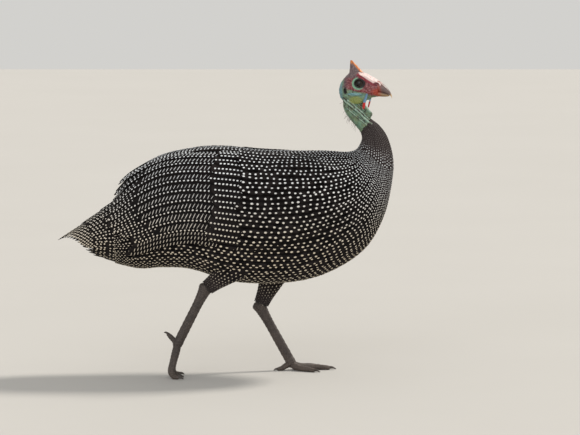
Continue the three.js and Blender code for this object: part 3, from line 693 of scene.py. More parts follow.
def scatter(name, spots, shape, finish):
    """One shape on every spot, its size in mm for each unit of the shape, as one object."""
    count = len(spots["point"])
    mesh = bpy.data.meshes.new(name + " points")
    mesh.vertices.add(count)
    mesh.vertices.foreach_set("co", (spots["point"] * MM).ravel())
    mark(mesh, "turn", euler_of(spots["along"], spots["out"]))
    mark(mesh, "size", spots["size"] * MM)
    mark(mesh, "root", np.c_[spots["root"], np.zeros(count)])
    mark(mesh, "tone", spots["tone"])
    points = thing(name + " points", mesh, soft=False)
    modifier = points.modifiers.new("feathers", "NODES")
    modifier.node_group = FEATHER_TREE
    given = {"Feather": shape, "Patch width": PATCH, "Finish": finish}
    for item in FEATHER_TREE.interface.items_tree:
        if item.in_out == "INPUT" and item.name in given:
            modifier[item.identifier] = given[item.name]
    seen = points.evaluated_get(bpy.context.evaluated_depsgraph_get())
    final = bpy.data.meshes.new_from_object(seen)
    final.name = name
    bpy.data.objects.remove(points)
    for title in ("turn", "size", "root", "patch"):
        if title in final.attributes:
            final.attributes.remove(final.attributes[title])
    return thing(name, final)


def shape_object(name, points, faces, vane):
    """A shape to scatter, a unit long, kept out of the render."""
    mesh = mesh_of(name, points, faces, {"vane": vane}, unit_size=1)
    mark(mesh, "patch", np.c_[np.asarray(vane, float) - 0.5, np.zeros(len(vane))])
    mesh.shade_smooth()
    return bpy.data.objects.new(name, mesh)


# A small feather's rise along its middle, its crown across and its depth, for a length of 1
VANE_ARCH, VANE_CROWN, VANE_DEPTH = 0.03, 0.07, 0.035


def vane_arch(x):
    return VANE_ARCH * 4 * x * (1 - x)


def small_vane(rows):
    """A closed little feather from its root at 0 to its tip at x = 1: rows of (x, half width)."""
    points, vane = [], []
    for x, half in rows:
        for across in (-1, 0, 1):
            bow = across * across
            points.append((x - 0.05 * bow, across * half, vane_arch(x) + VANE_CROWN * (1 - bow)))
            vane.append((0.5 + 0.5 * across, x))
    top = len(points)
    for x, _ in rows:
        points.append((x, 0, vane_arch(x) + VANE_CROWN - VANE_DEPTH))
        vane.append((0.5, x))
    faces = []
    for i in range(len(rows) - 1):
        a, b, c, d = 3 * i, 3 * i + 3, top + i, top + i + 1
        faces += [(a, a + 1, b + 1, b), (a + 1, a + 2, b + 2, b + 1)]
        faces += [(a, b, d, c), (a + 2, c, d, b + 2)]
    last, end = top - 3, len(points) - 1
    faces += [(0, top, 1), (1, top, 2), (last, last + 1, end), (last + 1, last + 2, end)]
    return points, faces, vane


def spot_dome(sides=8):
    """A flat dome one unit across, its rim a little below 0."""
    turn = once_round(sides)
    points = [(r * math.cos(a), r * math.sin(a), z) for r, z in ((0.5, -0.04), (0.3, 0.05)) for a in turn]
    points += [(0, 0, 0.075), (0, 0, -0.06)]
    top, bottom = 2 * sides, 2 * sides + 1
    faces = []
    for j in range(sides):
        k = (j + 1) % sides
        faces += [(j, k, sides + k, sides + j), (sides + j, sides + k, top), (k, j, bottom)]
    return points, faces, [(0.5 + p[0], 0.5 + p[1]) for p in points]


# The coat's own lie: heights above the outline, and each feather's place on the unwrap

WING_MIDDLE = math.radians(66)
WING_HALF = math.radians(52)
WRIST = 9.9  # the station where the wing has narrowed
WING_SHOULDER = 7.0  # how far the covered arm stands out
STEP = 0.95  # the rise from one long feather to the next
LAYER = 2.35  # the rise from the quills to their coverts
BASE = 1.28  # the quills' own height
SHOWN = 0.46  # of a feather's pace on the body: from its spot to its tip
LONG_FRONT = 6.45  # the station where the small feathers end on the wing
BARE_Z, BARE_X, BARE_SLOPE = 302.7, 172, 1.41  # the slanted edge of the bare skin on the neck


def wing_reach(station):
    return WING_HALF * lerp(1, 0.45, smooth(station, 7, WRIST))


def wing_across(station, angle):
    """0 in the wing's middle and 1 or -1 at its lower and upper edges."""
    return (np.abs(angle) - WING_MIDDLE) / wing_reach(station)


def wing_bump(station, angle):
    edge = 1 - smooth(np.abs(wing_across(station, angle)), 0.70, 1.04)
    return WING_SHOULDER * edge * (1 - smooth(station, 7.6, 10.3)) * smooth(station, 4.4, 5.6)


def body_patch(station, angle):
    return np.stack([0.5 + angle / np.pi * 0.48, lerp(0.02, 0.80, station / LAST)], -1)


def jitter(count, amount):
    return 1 + rng.uniform(-amount, amount, count)


def laid(root, tip, out_near):
    """Directions of feathers from their roots to their tips, and square out of the surface."""
    along = unit(tip - root)
    return along, np.cross(along, unit(np.cross(out_near, along)))


def feathers_with_spots(root, tip, normal, width, spot_from_tip, spot_size, patch, tone, spot_tone):
    """The points to scatter small feathers on, and one spot near the tip of each."""
    length = np.linalg.norm(tip - root, axis=-1)
    along, out = laid(root, tip, normal)
    feathers = {
        "point": root,
        "along": along,
        "out": out,
        "size": np.stack([length, width, length], -1),
        "root": patch,
        "tone": tone,
    }
    x = 1 - spot_from_tip / length
    rise = VANE_CROWN + vane_arch(x)
    slope = VANE_ARCH * 4 * (1 - 2 * x)
    dots = {
        "point": root + along * (x * length)[:, None] + out * (rise * length + 0.04)[:, None],
        "along": unit(along + out * slope[:, None]),
        "out": unit(out - along * slope[:, None]),
        "size": np.stack([spot_size[:, 0], spot_size[:, 1], 0.5 * (spot_size[:, 0] + spot_size[:, 1])], -1),
        "root": patch,
        "tone": spot_tone,
    }
    return feathers, dots


def joined(groups):
    return {key: np.concatenate([g[key] for g in groups]) for key in groups[0]}


def taken(spots, keep):
    return {key: values[keep] for key, values in spots.items()}


LINE_GAP = math.radians(3.9)
LINES = round(math.pi / LINE_GAP)  # on each side
COAT_ENDS = 1.75, 16.6  # stations
CROWDED = 1.9  # mm between lines, under which every second line ends


def body_coat():
    """Feathers on lines that run from the neck to the tail, each line half a feather before the next."""
    feathers, dots = [], []
    stations = np.linspace(*COAT_ENDS, 900)
    wide = 0.03  # the angle over which the gap between lines is measured
    for n in range(-LINES + 1, LINES + 1):
        angle = n * math.pi / LINES
        path = on_outline(stations, angle, wing_bump(stations, angle))
        run = np.r_[0, np.cumsum(np.linalg.norm(np.diff(path, axis=0), axis=1))]
        near = outline_point(stations, np.full_like(stations, angle + wide))
        far = outline_point(stations, np.full_like(stations, angle - wide))
        gap = np.linalg.norm(near - far, axis=1) / (2 * wide) * LINE_GAP
        crowded = gap < CROWDED
        gap = np.where(crowded, 2 * gap, gap)
        turned = abs(math.degrees(angle))
        wander = rng.uniform(0, 2 * math.pi)
        ratio = lerp(1.05, 1.5, smooth(turned, 20, 85)) * np.ones_like(stations)
        ratio = lerp(ratio, 1.12, smooth(stations, 9.5, 11.8))
        pace = np.maximum(gap * ratio, 2.2)
        count = np.r_[0, np.cumsum(np.diff(run) / ((pace[1:] + pace[:-1]) / 2))]
        for skip, phase in ((False, 0.5 * (n % 2)), (True, 0.5 * ((n // 2) % 2))):
            if skip and n % 2:
                continue
            marks = np.arange(math.ceil(count[0]), count[-1]) + phase
            marks = marks + rng.uniform(-0.13, 0.13, len(marks))
            s = np.interp(marks, count, stations)
            keep = np.interp(s, stations, crowded) > 0.5
            s = s[keep == skip]
            place = np.interp(s, stations, run)
            a = np.interp(s, stations, pace)
            d = np.interp(s, stations, gap)
            theta = angle + rng.uniform(-0.13, 0.13, len(s)) * LINE_GAP
            theta = theta + 0.2 * LINE_GAP * np.sin(2.3 * s + wander)
            length = np.maximum(2.5 * a, 7.0) * jitter(len(s), 0.06)
            tip_s = np.interp(place - SHOWN * a, run, stations)
            root_s = np.interp(place - SHOWN * a + length, run, stations)
            depth = np.minimum(0.095 * length, 1.7)
            lift = 0.15 + rng.uniform(0, 0.3, len(s)) * np.minimum(a / 5, 1)
            tip = on_outline(tip_s, theta, wing_bump(tip_s, theta) + lift)
            root = on_outline(root_s, theta, wing_bump(root_s, theta) - depth)
            point, normal, _ = outline_frame(s, theta)
            across = wing_across(s, theta)
            limit = np.where(across < 0, lerp(0.93, 0.86, smooth(s, 3.5, 5.0)), 0.93)
            front = LONG_FRONT + rng.uniform(-0.15, 0.05, len(s))
            under_wing = (np.abs(across) < limit) & (s < front) & (s > 2.9 + 0.6 * (across > 0))
            edge = BARE_Z + BARE_SLOPE * (point[:, 0] - BARE_X) + rng.uniform(-2, 2, len(s))
            bare = (point[:, 2] > edge) & (s > 13)
            keep = ~under_wing & ~bare
            size = np.stack([0.44 * a * jitter(len(s), 0.18), 0.45 * d * jitter(len(s), 0.18)], -1)
            grey = smooth(s, 10.4, 13.6)
            streaky = smooth(s, 12.6, 14.0)
            size = size * lerp(1, 0.8, streaky)[:, None]
            tone = lerp(0.04, 0.55, grey) + rng.uniform(-0.04, 0.12, len(s))
            spot_tone = streaky + 0.35 * smooth(s, 11.6, 13) + rng.uniform(0, 0.15, len(s))
            made, theirs = feathers_with_spots(
                root,
                tip,
                normal,
                np.maximum(1.95 * d, 2.6) * lerp(1, 0.8, streaky),
                SHOWN * a,
                size,
                body_patch(root_s, theta),
                np.clip(tone, 0, 1),
                np.clip(spot_tone, 0, 1),
            )
            feathers.append(taken(made, keep))
            dots.append(taken(theirs, keep))
    return joined(feathers), joined(dots)


# Thighs

# A toe's or claw's stop is x, how far it lies outwards from the ball of the foot, z and its radius.
LEGS = {
    "right": {
        "side": -1,
        "hip": (34, -40, 162),
        "hock": (-26, -31, 114.5),
        "ball": (-62, -32, 43),
        "toes": {
            "middle": [(-64, 1, 34, 4.8), (-68, 3, 20, 4), (-70.5, 5, 9, 3.7), (-68, 6, 3.4, 3.4),
                       (-61, 6.7, 2.5, 2.5)],
            "outer": [(-63, 5, 35, 4.4), (-66.5, 12, 20, 3.6), (-68.5, 17, 8.5, 3.3), (-66, 19.5, 3.1, 3.1),
                      (-60.2, 21.3, 2.3, 2.3)],
            "inner": [(-63, -4, 35, 4.4), (-66.5, -9, 20, 3.5), (-68, -13, 8.5, 3.2), (-65.5, -15, 3, 3),
                      (-60.2, -16.6, 2.3, 2.3)],
            "hind": [(-66, -4, 47, 3.4), (-71, -6, 52, 2.9), (-75.2, -7.4, 55.9, 2.0)],
        },
        "claws": {
            "middle": [(-62.4, 6.7, 2.9, 2.0), (-57.5, 7.1, 3.0, 1.6), (-53.5, 7.5, 1.1, 0.5)],
            "outer": [(-61.6, 21, 2.7, 1.9), (-57, 22.4, 2.8, 1.5), (-53.5, 23.4, 1, 0.5)],
            "inner": [(-61.6, -16.3, 2.7, 1.9), (-57, -17.6, 2.8, 1.5), (-53.5, -18.6, 1, 0.5)],
            "hind": [(-73.4, -6.9, 55.4, 1.7), (-77, -8, 57.3, 1.3), (-79.5, -8.6, 57.2, 0.5)],
        },
    },
    "left": {
        "side": 1,
        "hip": (76, 38, 156),
        "hock": (44.5, 33, 84),
        "ball": (86, 32, 9),
        "toes": {
            "middle": [(92.5, 0, 5.6, 4.8), (104.5, 1, 3.9, 4), (116.5, 2, 3.5, 3.5),
                       (127.5, 2.4, 3.1, 3.3), (136, 2.8, 2.5, 2.5)],
            "outer": [(91.5, 5, 5, 4.4), (100.5, 12, 3.6, 3.6), (109.5, 18, 3.2, 3.2),
                      (118.6, 23.6, 2.3, 2.3)],
            "inner": [(91.5, -5, 5, 4.4), (99.5, -11, 3.6, 3.6), (107.5, -16, 3.2, 3.2),
                      (115.6, -21, 2.3, 2.3)],
            "hind": [(79, -4, 6.5, 3.6), (73.5, -6, 3.2, 3.1), (67.8, -7.6, 2.2, 2.2)],
        },
        "claws": {
            "middle": [(134.3, 2.8, 2.9, 2.0), (139.5, 3, 3, 1.6), (144.5, 3.2, 1.1, 0.5)],
            "outer": [(117.4, 22.8, 2.7, 1.9), (122, 25.7, 2.8, 1.5), (126, 28, 1, 0.5)],
            "inner": [(114.4, -20.3, 2.7, 1.9), (119, -23.2, 2.8, 1.5), (123, -25.4, 1, 0.5)],
            "hind": [(69.2, -7.3, 2.5, 1.8), (65.5, -8.4, 2.6, 1.3), (62.5, -9.3, 1, 0.5)],
        },
    },
}
THIGH = [(0, 8.6), (0.2, 10.2), (0.5, 15), (0.75, 20), (1, 25)]  # radius from the hock to the hip
THIGH_SLIM = 0.84
THIGH_LINES = 20


def thigh_point(leg, t, angle, height=0.0):
    """A point on the feathered thigh: t from 0 at the hock to 1 at the hip."""
    hock, hip = np.array(leg["hock"], float), np.array(leg["hip"], float)
    along = unit(hip - hock)
    up = unit(np.cross([0, 1, 0], along))
    side = np.cross(along, up)
    half = np.interp(t, *zip(*THIGH)) + height
    t, angle, half = np.broadcast_arrays(t, angle, half)
    reach = up * (np.cos(angle) * half)[..., None] + side * (np.sin(angle) * half * THIGH_SLIM)[..., None]
    return hock + (hip - hock) * t[..., None] + reach


def thigh_patch(leg, t, angle):
    low = 0.02 if leg["side"] < 0 else 0.52
    return np.stack([low + 0.46 * (angle / (2 * np.pi) % 1), lerp(0.84, 0.98, t)], -1)


def thigh_coat(leg):
    feathers, dots = [], []
    long = np.linalg.norm(np.array(leg["hip"]) - np.array(leg["hock"]))
    for n in range(THIGH_LINES):
        angle = 2 * math.pi * n / THIGH_LINES
        t = [0.06 + 0.02 * (n % 2)]
        while t[-1] < 0.72:
            t.append(t[-1] + (2.6 + 4.4 * t[-1] / 0.7) / long)
        t = np.array(t[:-1]) + rng.uniform(-0.006, 0.006, len(t) - 1)
        pace = 2.6 + 4.4 * t / 0.7
        gap = np.interp(t, *zip(*THIGH)) * 2 * math.pi / THIGH_LINES
        theta = angle + rng.uniform(-0.04, 0.04, len(t))
        length = np.maximum(2.6 * pace, 9)
        tip = thigh_point(leg, t - SHOWN * pace / long, theta, 0.3)
        root = thigh_point(leg, t + (length - SHOWN * pace) / long, theta, -0.1 * length)
        normal = unit(thigh_point(leg, t, theta, 1.0) - thigh_point(leg, t, theta))
        size = np.stack([0.42 * pace, 0.42 * gap], -1) * jitter(len(t), 0.15)[:, None]
        up = smooth(t, 0.1, 0.5)
        made, theirs = feathers_with_spots(
            root,
            tip,
            normal,
            2.1 * gap,
            SHOWN * pace,
            size * smooth(t, -0.05, 0.3)[:, None],
            thigh_patch(leg, t, np.full_like(t, angle)),
            np.clip(lerp(0.35, 0.05, up) + rng.uniform(0, 0.1, len(t)), 0, 1),
            np.clip(lerp(0.6, 0.1, up) + rng.uniform(0, 0.15, len(t)), 0, 1),
        )
        feathers.append(made)
        dots.append(theirs)
    return joined(feathers), joined(dots)


# Long feathers of the wings and the tail

HALF_WIDTH = 0.72  # of a vane, in pitches from one vane to the next
VANE_THICK = 0.45
VANE_TONE = 0.02


def vane_width(t):
    """Half width along a long vane: narrow at its root, with a round tip."""
    body = profile([0.55, 0.9, 1, 1, 1, 0.98], np.clip(t / 0.86, 0, 1))
    tip = np.sqrt(np.clip(1 - (np.clip(t - 0.86, 0, 1) / 0.14) ** 2, 0.02, 1))
    return body * tip


class LongFeather:
    """One long vane in the coat's own coordinates, from its root station to its tip station."""

    def __init__(self, side, root, tip, centre, pitch, height, patch, roof=False):
        self.side, self.root, self.tip, self.roof = side, root, tip, roof
        self.centre, self.pitch, self.height, self.patch = centre, pitch, height, patch

    def at(self, station, turned, above=0.0):
        station, turned = paired(station, turned)
        angle = self.side * (self.centre(station) + turned * self.pitch(station))
        rise = STEP * (np.abs(turned) if self.roof else turned)
        return on_outline(station, angle, self.height(station) + rise + above)

    def plate(self, rows=20, columns=7):
        t = 1 - (1 - np.linspace(0, 1, rows)) ** 1.25
        station = lerp(self.root, self.tip, t)[:, None]
        across = np.linspace(-1, 1, columns)[None, :]
        turned = across * (vane_width(t) * HALF_WIDTH)[:, None]
        upper = self.at(station, turned, VANE_THICK + 0.12 * (1 - across**2))
        lower = self.at(station, turned, 0.05 * (1 - across**2))
        points = np.vstack([upper.reshape(-1, 3), lower.reshape(-1, 3)])
        half = rows * columns
        faces = []
        for i in range(rows - 1):
            for j in range(columns - 1):
                a = i * columns + j
                faces.append((a, a + 1, a + columns + 1, a + columns))
                faces.append((half + a, half + a + columns, half + a + columns + 1, half + a + 1))
            a, b = i * columns, i * columns + columns - 1
            faces.append((a, a + columns, half + a + columns, half + a))
            faces.append((b + columns, b, half + b, half + b + columns))
        for j in range(columns - 1):
            a, b = j, (rows - 1) * columns + j
            faces.append((a + 1, a, half + a, half + a + 1))
            faces.append((b, b + 1, half + b + 1, half + b))
        vane = np.stack(np.broadcast_arrays((across + 1) / 2, t[:, None]), -1).reshape(-1, 2)
        vane = np.vstack([vane, vane])
        return points, faces, vane, self.patch + (vane - 0.5) * PATCH

    def marks(self, station, turned, long, wide, lean=0.0, tone=0.0):
        """Pale marks on the vane, long and wide in mm and leaning towards the back by lean degrees."""
        station, turned = paired(station, turned)
        head = unit(self.at(station + NUDGE, turned) - self.at(station - NUDGE, turned))
        back = unit(self.at(station, turned - NUDGE) - self.at(station, turned + NUDGE))
        lean = np.radians(np.broadcast_to(lean, station.shape))
        long, wide, tone = (np.broadcast_to(v, station.shape) for v in (long, wide, tone))
        return {
            "point": self.at(station, turned, VANE_THICK + 0.16),
            "along": unit(head * np.cos(lean)[..., None] + back * np.sin(lean)[..., None]),
            "out": unit(np.cross(back, head)) * self.side,
            "size": np.stack([long, wide, np.minimum(long, wide) * 1.3], -1),
            "root": np.broadcast_to(self.patch, (len(station), 2)),
            "tone": tone + rng.uniform(0, 0.12, len(station)),
        }

    def stations_every(self, gap, low, high):
        """Stations on the vane's middle, gap mm apart, from low to high as parts of its length."""
        s = np.linspace(lerp(self.root, self.tip, low), lerp(self.root, self.tip, high), 80)
        path = self.at(s, 0.2)
        run = np.r_[0, np.cumsum(np.linalg.norm(np.diff(path, axis=0), axis=1))]
        return np.interp(np.arange(gap / 2, run[-1], gap) + rng.uniform(-0.3, 0.3), run, s)

    def width_at(self, station):
        return vane_width((station - self.root) / (self.tip - self.root))

    def within(self, station, turned):
        """Those stations where the vane still reaches turned pitches from its middle."""
        return station[HALF_WIDTH * self.width_at(station) > turned]


def stand_off(station, angle):
    """The long feathers stand clear of the steep rump, most of all the innermost ones."""
    crest = 1 - smooth(angle, math.radians(16), math.radians(44))
    return 0.9 * (1 - smooth(station, 4.8, 5.9)) + (4.5 + 8 * crest) * (1 - smooth(station, 1.6, 3.9))


def wing_spread(station):
    """The pitch of the wing's vanes, as a part of their pitch where the wing is widest."""
    return wing_reach(station) / WING_HALF * lerp(0.83, 1, 1 - smooth(station, 3, 6))


def wing_row(side, count, start, end, root, tips, level):
    """A row of vanes across the wing, their angles in degrees from start to end."""
    span = math.radians(end - start) / count
    row = []
    for k in range(count):
        own = math.radians(start) + (k + 0.5) * span
        row.append(
            LongFeather(
                side,
                root,
                float(profile(tips, (k + 0.5) / count)),
                lambda s, own=own: WING_MIDDLE + (own - WING_MIDDLE) * wing_spread(s),
                lambda s: span * wing_spread(s),
                lambda s, own=own: BASE + level * LAYER + stand_off(s, own),
                body_patch(np.float64(root), np.float64(side * own)),
            )
        )
    return row


def quill_marks(feather, index):
    """Thin leaning dashes, then dots beyond them, and a row of dots along the feather's lower edge."""
    dashes = feather.stations_every(4.9, 0.02, 0.70)
    count = len(dashes)
    centre = 0.12 + rng.uniform(-0.02, 0.02, count)
    lean = 62 + rng.uniform(-7, 7, count)
    dim = 0.32 * rng.uniform(0, 1, count) ** 2
    long = (9.2 if index >= 7 else 7.3) * jitter(count, 0.18)
    rows = [feather.marks(dashes, centre, long, 0.95 * jitter(count, 0.2), lean, dim)]
    for row, turned in enumerate((-0.1, 0.22)):
        beyond = feather.within(feather.stations_every(5.9, 0.72 + 0.025 * row, 0.98), turned + 0.12)
        count = len(beyond)
        place = turned + rng.uniform(-0.05, 0.05, count)
        rows.append(feather.marks(beyond, place, 2.5 * jitter(count, 0.2), 1.7 * jitter(count, 0.2), 25))
    dots = feather.stations_every(5.3, 0.0, 0.97)
    count = len(dots)
    edge = 0.555 * feather.width_at(dots) + rng.uniform(-0.02, 0.02, count)
    rows.append(feather.marks(dots, edge, 2.7 * jitter(count, 0.15), 2.2 * jitter(count, 0.15), 20))
    return rows


def wing_feathers(side):
    quills = wing_row(side, 9, 15, 110.5, 7.0, [2.6, 1.7, 1.6, 3], 0)
    outer = wing_row(side, 3, 110.5, 125.5, 7.0, [2.9, 2.7, 2.5, 2.3], 0)
    coverts = wing_row(side, 9, 15, 118, 7.7, [5.85, 5.6, 5.65, 5.4], 1)
    marks = []
    for k, feather in enumerate(quills):
        marks += quill_marks(feather, k)
    for feather, low in ((quills[0], 0.0), (coverts[0], 0.3)):
        for turned in (-0.2, -0.46):
            s = feather.within(feather.stations_every(4.7, low, 0.97), abs(turned) + 0.1)
            marks.append(feather.marks(s, turned, 2.4, 2.0))
    for feather in outer:
        s = feather.stations_every(4.6, 0.02, 0.95)
        marks.append(feather.marks(s, 0.25, 5.0, 1.0, 68, 0.1))
    for feather in coverts:
        for turned, low in ((0.48, 0.25), (0.02, 0.26)):
            s = feather.within(feather.stations_every(4.9, low, 0.99), abs(turned) + 0.1)
            marks.append(feather.marks(s, turned, 3.3, 2.6, 8))
    return outer + quills + coverts, marks


TAIL_ROOT = 2.3
# Fans of the tail: pairs of vanes, pitch and middle in degrees from the back, tip stations and height
TAIL_FANS = [
    {"pairs": 10, "pitch": 11.5, "middle": 0, "tip": (0.02, 0.5), "height": -4.4},
    {"pairs": 9, "pitch": 13, "middle": 0, "tip": (0.55, 0.85), "height": -3.0},
    {"pairs": 8, "pitch": 14, "middle": 0, "tip": (1.05, 1.3), "height": -1.9},
    {"pairs": 5, "pitch": 14, "middle": 180, "tip": (0.75, 1.0), "height": -2.6},
    {"pairs": 5, "pitch": 14, "middle": 180, "tip": (1.15, 1.4), "height": -1.6},
    {"pairs": 4, "pitch": 15, "middle": 180, "tip": (0.6, 0.8), "height": -5.0},
    {"pairs": 3, "pitch": 17, "middle": 180, "tip": (0.5, 0.7), "height": -7.4},
]


def tail_feathers():
    vanes, marks = [], []
    for fan in TAIL_FANS:
        turn = -1 if fan["middle"] else 1
        for i in range(2 * fan["pairs"] + 1):
            k = abs(i - fan["pairs"])
            own = math.radians(fan["middle"] + turn * k * fan["pitch"])
            side = -1 if i < fan["pairs"] else 1
            vane = LongFeather(
                side,
                TAIL_ROOT,
                lerp(*fan["tip"], k / fan["pairs"]),
                lambda s, own=own: own + 0 * s,
                lambda s, turn=turn, pitch=fan["pitch"]: turn * math.radians(pitch) + 0 * s,
                lambda s, height=fan["height"]: height + 0 * s,
                body_patch(np.float64(TAIL_ROOT), np.float64(side * own)),
                roof=k == 0,
            )
            vanes.append(vane)
            for turned, low in ((0.38, 0.28), (-0.05, 0.32)):
                s = vane.within(vane.stations_every(5.2, low, 0.98), abs(turned) + 0.12)
                some = vane.marks(s, turned, 2.9, 2.1)
                if turn < 0:
                    some["out"] = -some["out"]
                marks.append(some)
    return vanes, marks


def feather_object(name, vanes, finish):
    plates = [vane.plate() for vane in vanes]
    shell = merged([plate[:2] for plate in plates])
    vane, root = (np.vstack([plate[i] for plate in plates]) for i in (2, 3))
    made = model(name, shell, finish, {"OFBake": root, "vane": vane})
    tones = VANE_TONE + rng.uniform(0, 0.06, len(vanes))
    mark(made.data, "tone", tones.repeat([len(plate[0]) for plate in plates]))
    return made


# Head and neck

# Sections of the head and of the bill: x, top, bottom and half width
HEAD_STATIONS = [
    (-30.5, -9, -13, 2.5),
    (-28, -1, -21, 7.5),
    (-23, 6, -26, 10.8),
    (-15, 12.5, -28.5, 12.8),
    (-6, 14.4, -27.5, 13.3),
    (3, 12.8, -23.5, 12.4),
    (11, 9.4, -20, 10.2),
    (18, 5.9, -18.4, 8),
    (23.5, 2.6, -17.6, 6.4),
]
HEAD_MIDDLE = 0.52
EYE_RADIUS = 6.6
EYE_DEEP = 4.6  # of its centre under the head's side
HELMET_X = -7.5
UPPER_BILL = [
    (15, 4.5, -10.5, 6),
    (23, 2.8, -11.4, 5.9),
    (28, -0.6, -12.2, 5),
    (33, -4.6, -13.4, 3.8),
    (37, -9, -14.8, 2.7),
    (39.8, -13.8, -17.2, 1.6),
    (41, -18.2, -19.5, 0.6),
]
LOWER_BILL = [
    (15, -9.5, -16.8, 5.2),
    (24, -10.5, -17.6, 4.9),
    (30, -12, -17.8, 3.7),
    (35, -14, -17.4, 2.4),
    (37.6, -15.6, -16.6, 1),
]
# Raised flesh on each side of the head: x, z, how far its middle stands out of the side, half thickness
SIDE_FOLDS = [
    [(-10, 5.0, -1.2, 1.2), (-7, 8.0, -1.0, 1.7), (-2, 9.6, -0.8, 2.0), (4, 8.6, -0.4, 2.0),
     (10, 6.0, -0.2, 1.9), (15.5, 2.8, -0.1, 1.6), (18.5, 0.8, -0.2, 1.0)],
    [(15.5, 2.0, -0.6, 1.1), (20, 1.4, -0.4, 1.6), (24.5, -0.6, -0.5, 1.6), (26.6, -3.4, -0.6, 0.9)],
    [(10, -13.2, -0.2, 1.0), (15.5, -11.8, 0, 1.2), (20.5, -11.6, -0.2, 0.8)],
    [(-13.5, -11.6, -0.4, 0.8), (-8, -14.2, 0, 1.15), (-1, -14.8, 0.1, 1.15), (5, -12.6, -0.1, 0.8)],
    [(-10, -7.6, -0.2, 0.7), (-5, -9.8, 0.2, 1.0), (2, -9.6, 0.2, 1.0), (7.5, -6.0, -0.1, 0.7)],
    [(-22, -7, 0, 0.9), (-21.6, -12, 0.1, 1.2), (-19.5, -16.6, 0.1, 1.2), (-15.5, -18.5, 0, 0.9)],
    [(-20.5, -8.2, 0.1, 0.8), (-17.5, -7.8, 0.3, 0.9), (-15.5, -11, 0.2, 0.9), (-16.5, -14.8, 0.1, 0.8)],
]
EAR = [(-19.2, -8.4), (-18.2, -13)]
NOSTRIL = [(21.6, -0.8), (24.6, -2.9)]
# Folds of the neck's skin: station on the outline and degrees round it, and the fold's radius
NECK_FOLDS = [
    ([(19, 28), (18.5, 62), (18, 86), (17.2, 108), (16.3, 118), (15.4, 128)], 1.5),
    ([(18.9, 62), (18.4, 92), (17.7, 112), (17, 130), (16.3, 142)], 1.2),
    ([(18.2, 40), (17.4, 66), (16.4, 88), (15.6, 100)], 0.9),
    ([(18.8, 108), (18.2, 128), (17.6, 146), (17, 160)], 1.0),
]
# The fold of the throat in the bird's own place: its upper edge, which gets a painted highlight, its lower
# edge and the skin between
THROAT_FOLD = [
    [(176, -4.5, 353, 3.2, 2.6), (181.5, -4.2, 347.6, 2.8, 2.4), (186.5, -4, 343, 2.1, 1.9),
     (190.3, -3.8, 339.6, 0.9, 0.9)],
    [(190.2, -3.8, 339.6, 1.0, 0.9), (187.4, -3.4, 337.2, 2.0, 1.7), (185.6, -3, 332, 2.5, 2.0),
     (184.4, -2, 327, 2.2, 2)],
    [(180, -3.8, 345, 4.2, 2.4), (183.4, -3.6, 339.5, 4.0, 1.9), (182.6, -3.0, 333, 4.0, 2.0)],
]


def head_section(x):
    found = curve(HEAD_STATIONS, np.linspace(0, 1, 200))
    return [np.interp(x, found[:, 0], found[:, i]) for i in (1, 2, 3)]


def head_side(x, z):
    """Half the head's width at a place on its side."""
    top, bottom, half = head_section(x)
    middle = lerp(bottom, top, HEAD_MIDDLE)
    reach = np.where(z > middle, top - middle, middle - bottom)
    return half * np.sqrt(np.clip(1 - ((z - middle) / reach) ** 2, 0, 1))


def eye_centre(side):
    return np.array([EYE_X, side * (head_side(EYE_X, EYE_Z) - EYE_DEEP), EYE_Z])


def side_limb(stops, side):
    path = [(x, side * (head_side(x, z) + out), z, r) for x, z, out, r in stops]
    return limb(path, 16, 10, across=(0.01, 0.3, 1))


def ring_on(x, y, z, radius, thick, stretch, turn, segments=40, sides=10):
    """A ring of flesh facing sideways, turned a little about Z and X."""
    points, faces = [], []
    for i, a in enumerate(once_round(segments)):
        for j, b in enumerate(once_round(sides)):
            r = radius + thick * math.cos(b)
            points.append((r * math.cos(a), thick * math.sin(b), stretch * r * math.sin(a)))
            k, m = (i + 1) % segments, (j + 1) % sides
            faces.append((i * sides + j, i * sides + m, k * sides + m, k * sides + j))
    px, py, pz = about_z(points, turn[0]).T
    cx, sx = math.cos(turn[1]), math.sin(turn[1])
    py, pz = cx * py - sx * pz, sx * py + cx * pz
    return np.stack([px + x, py + y, pz + z], -1), faces


def egg(centre, radii):
    turn = once_round(24)
    rings = []
    for a in np.linspace(0.12, math.pi - 0.12, 14):
        x, y = np.cos(turn) * math.sin(a) * radii[0], np.sin(turn) * math.sin(a) * radii[1]
        rings.append(np.stack([x, y, 0 * turn + math.cos(a) * radii[2]], -1) + centre)
    return tube_mesh(rings)


SKIN_VOXEL = 0.58
SKIN_RELAX = 5


def to_bird(shell):
    points, faces = shell
    return from_head(points), faces


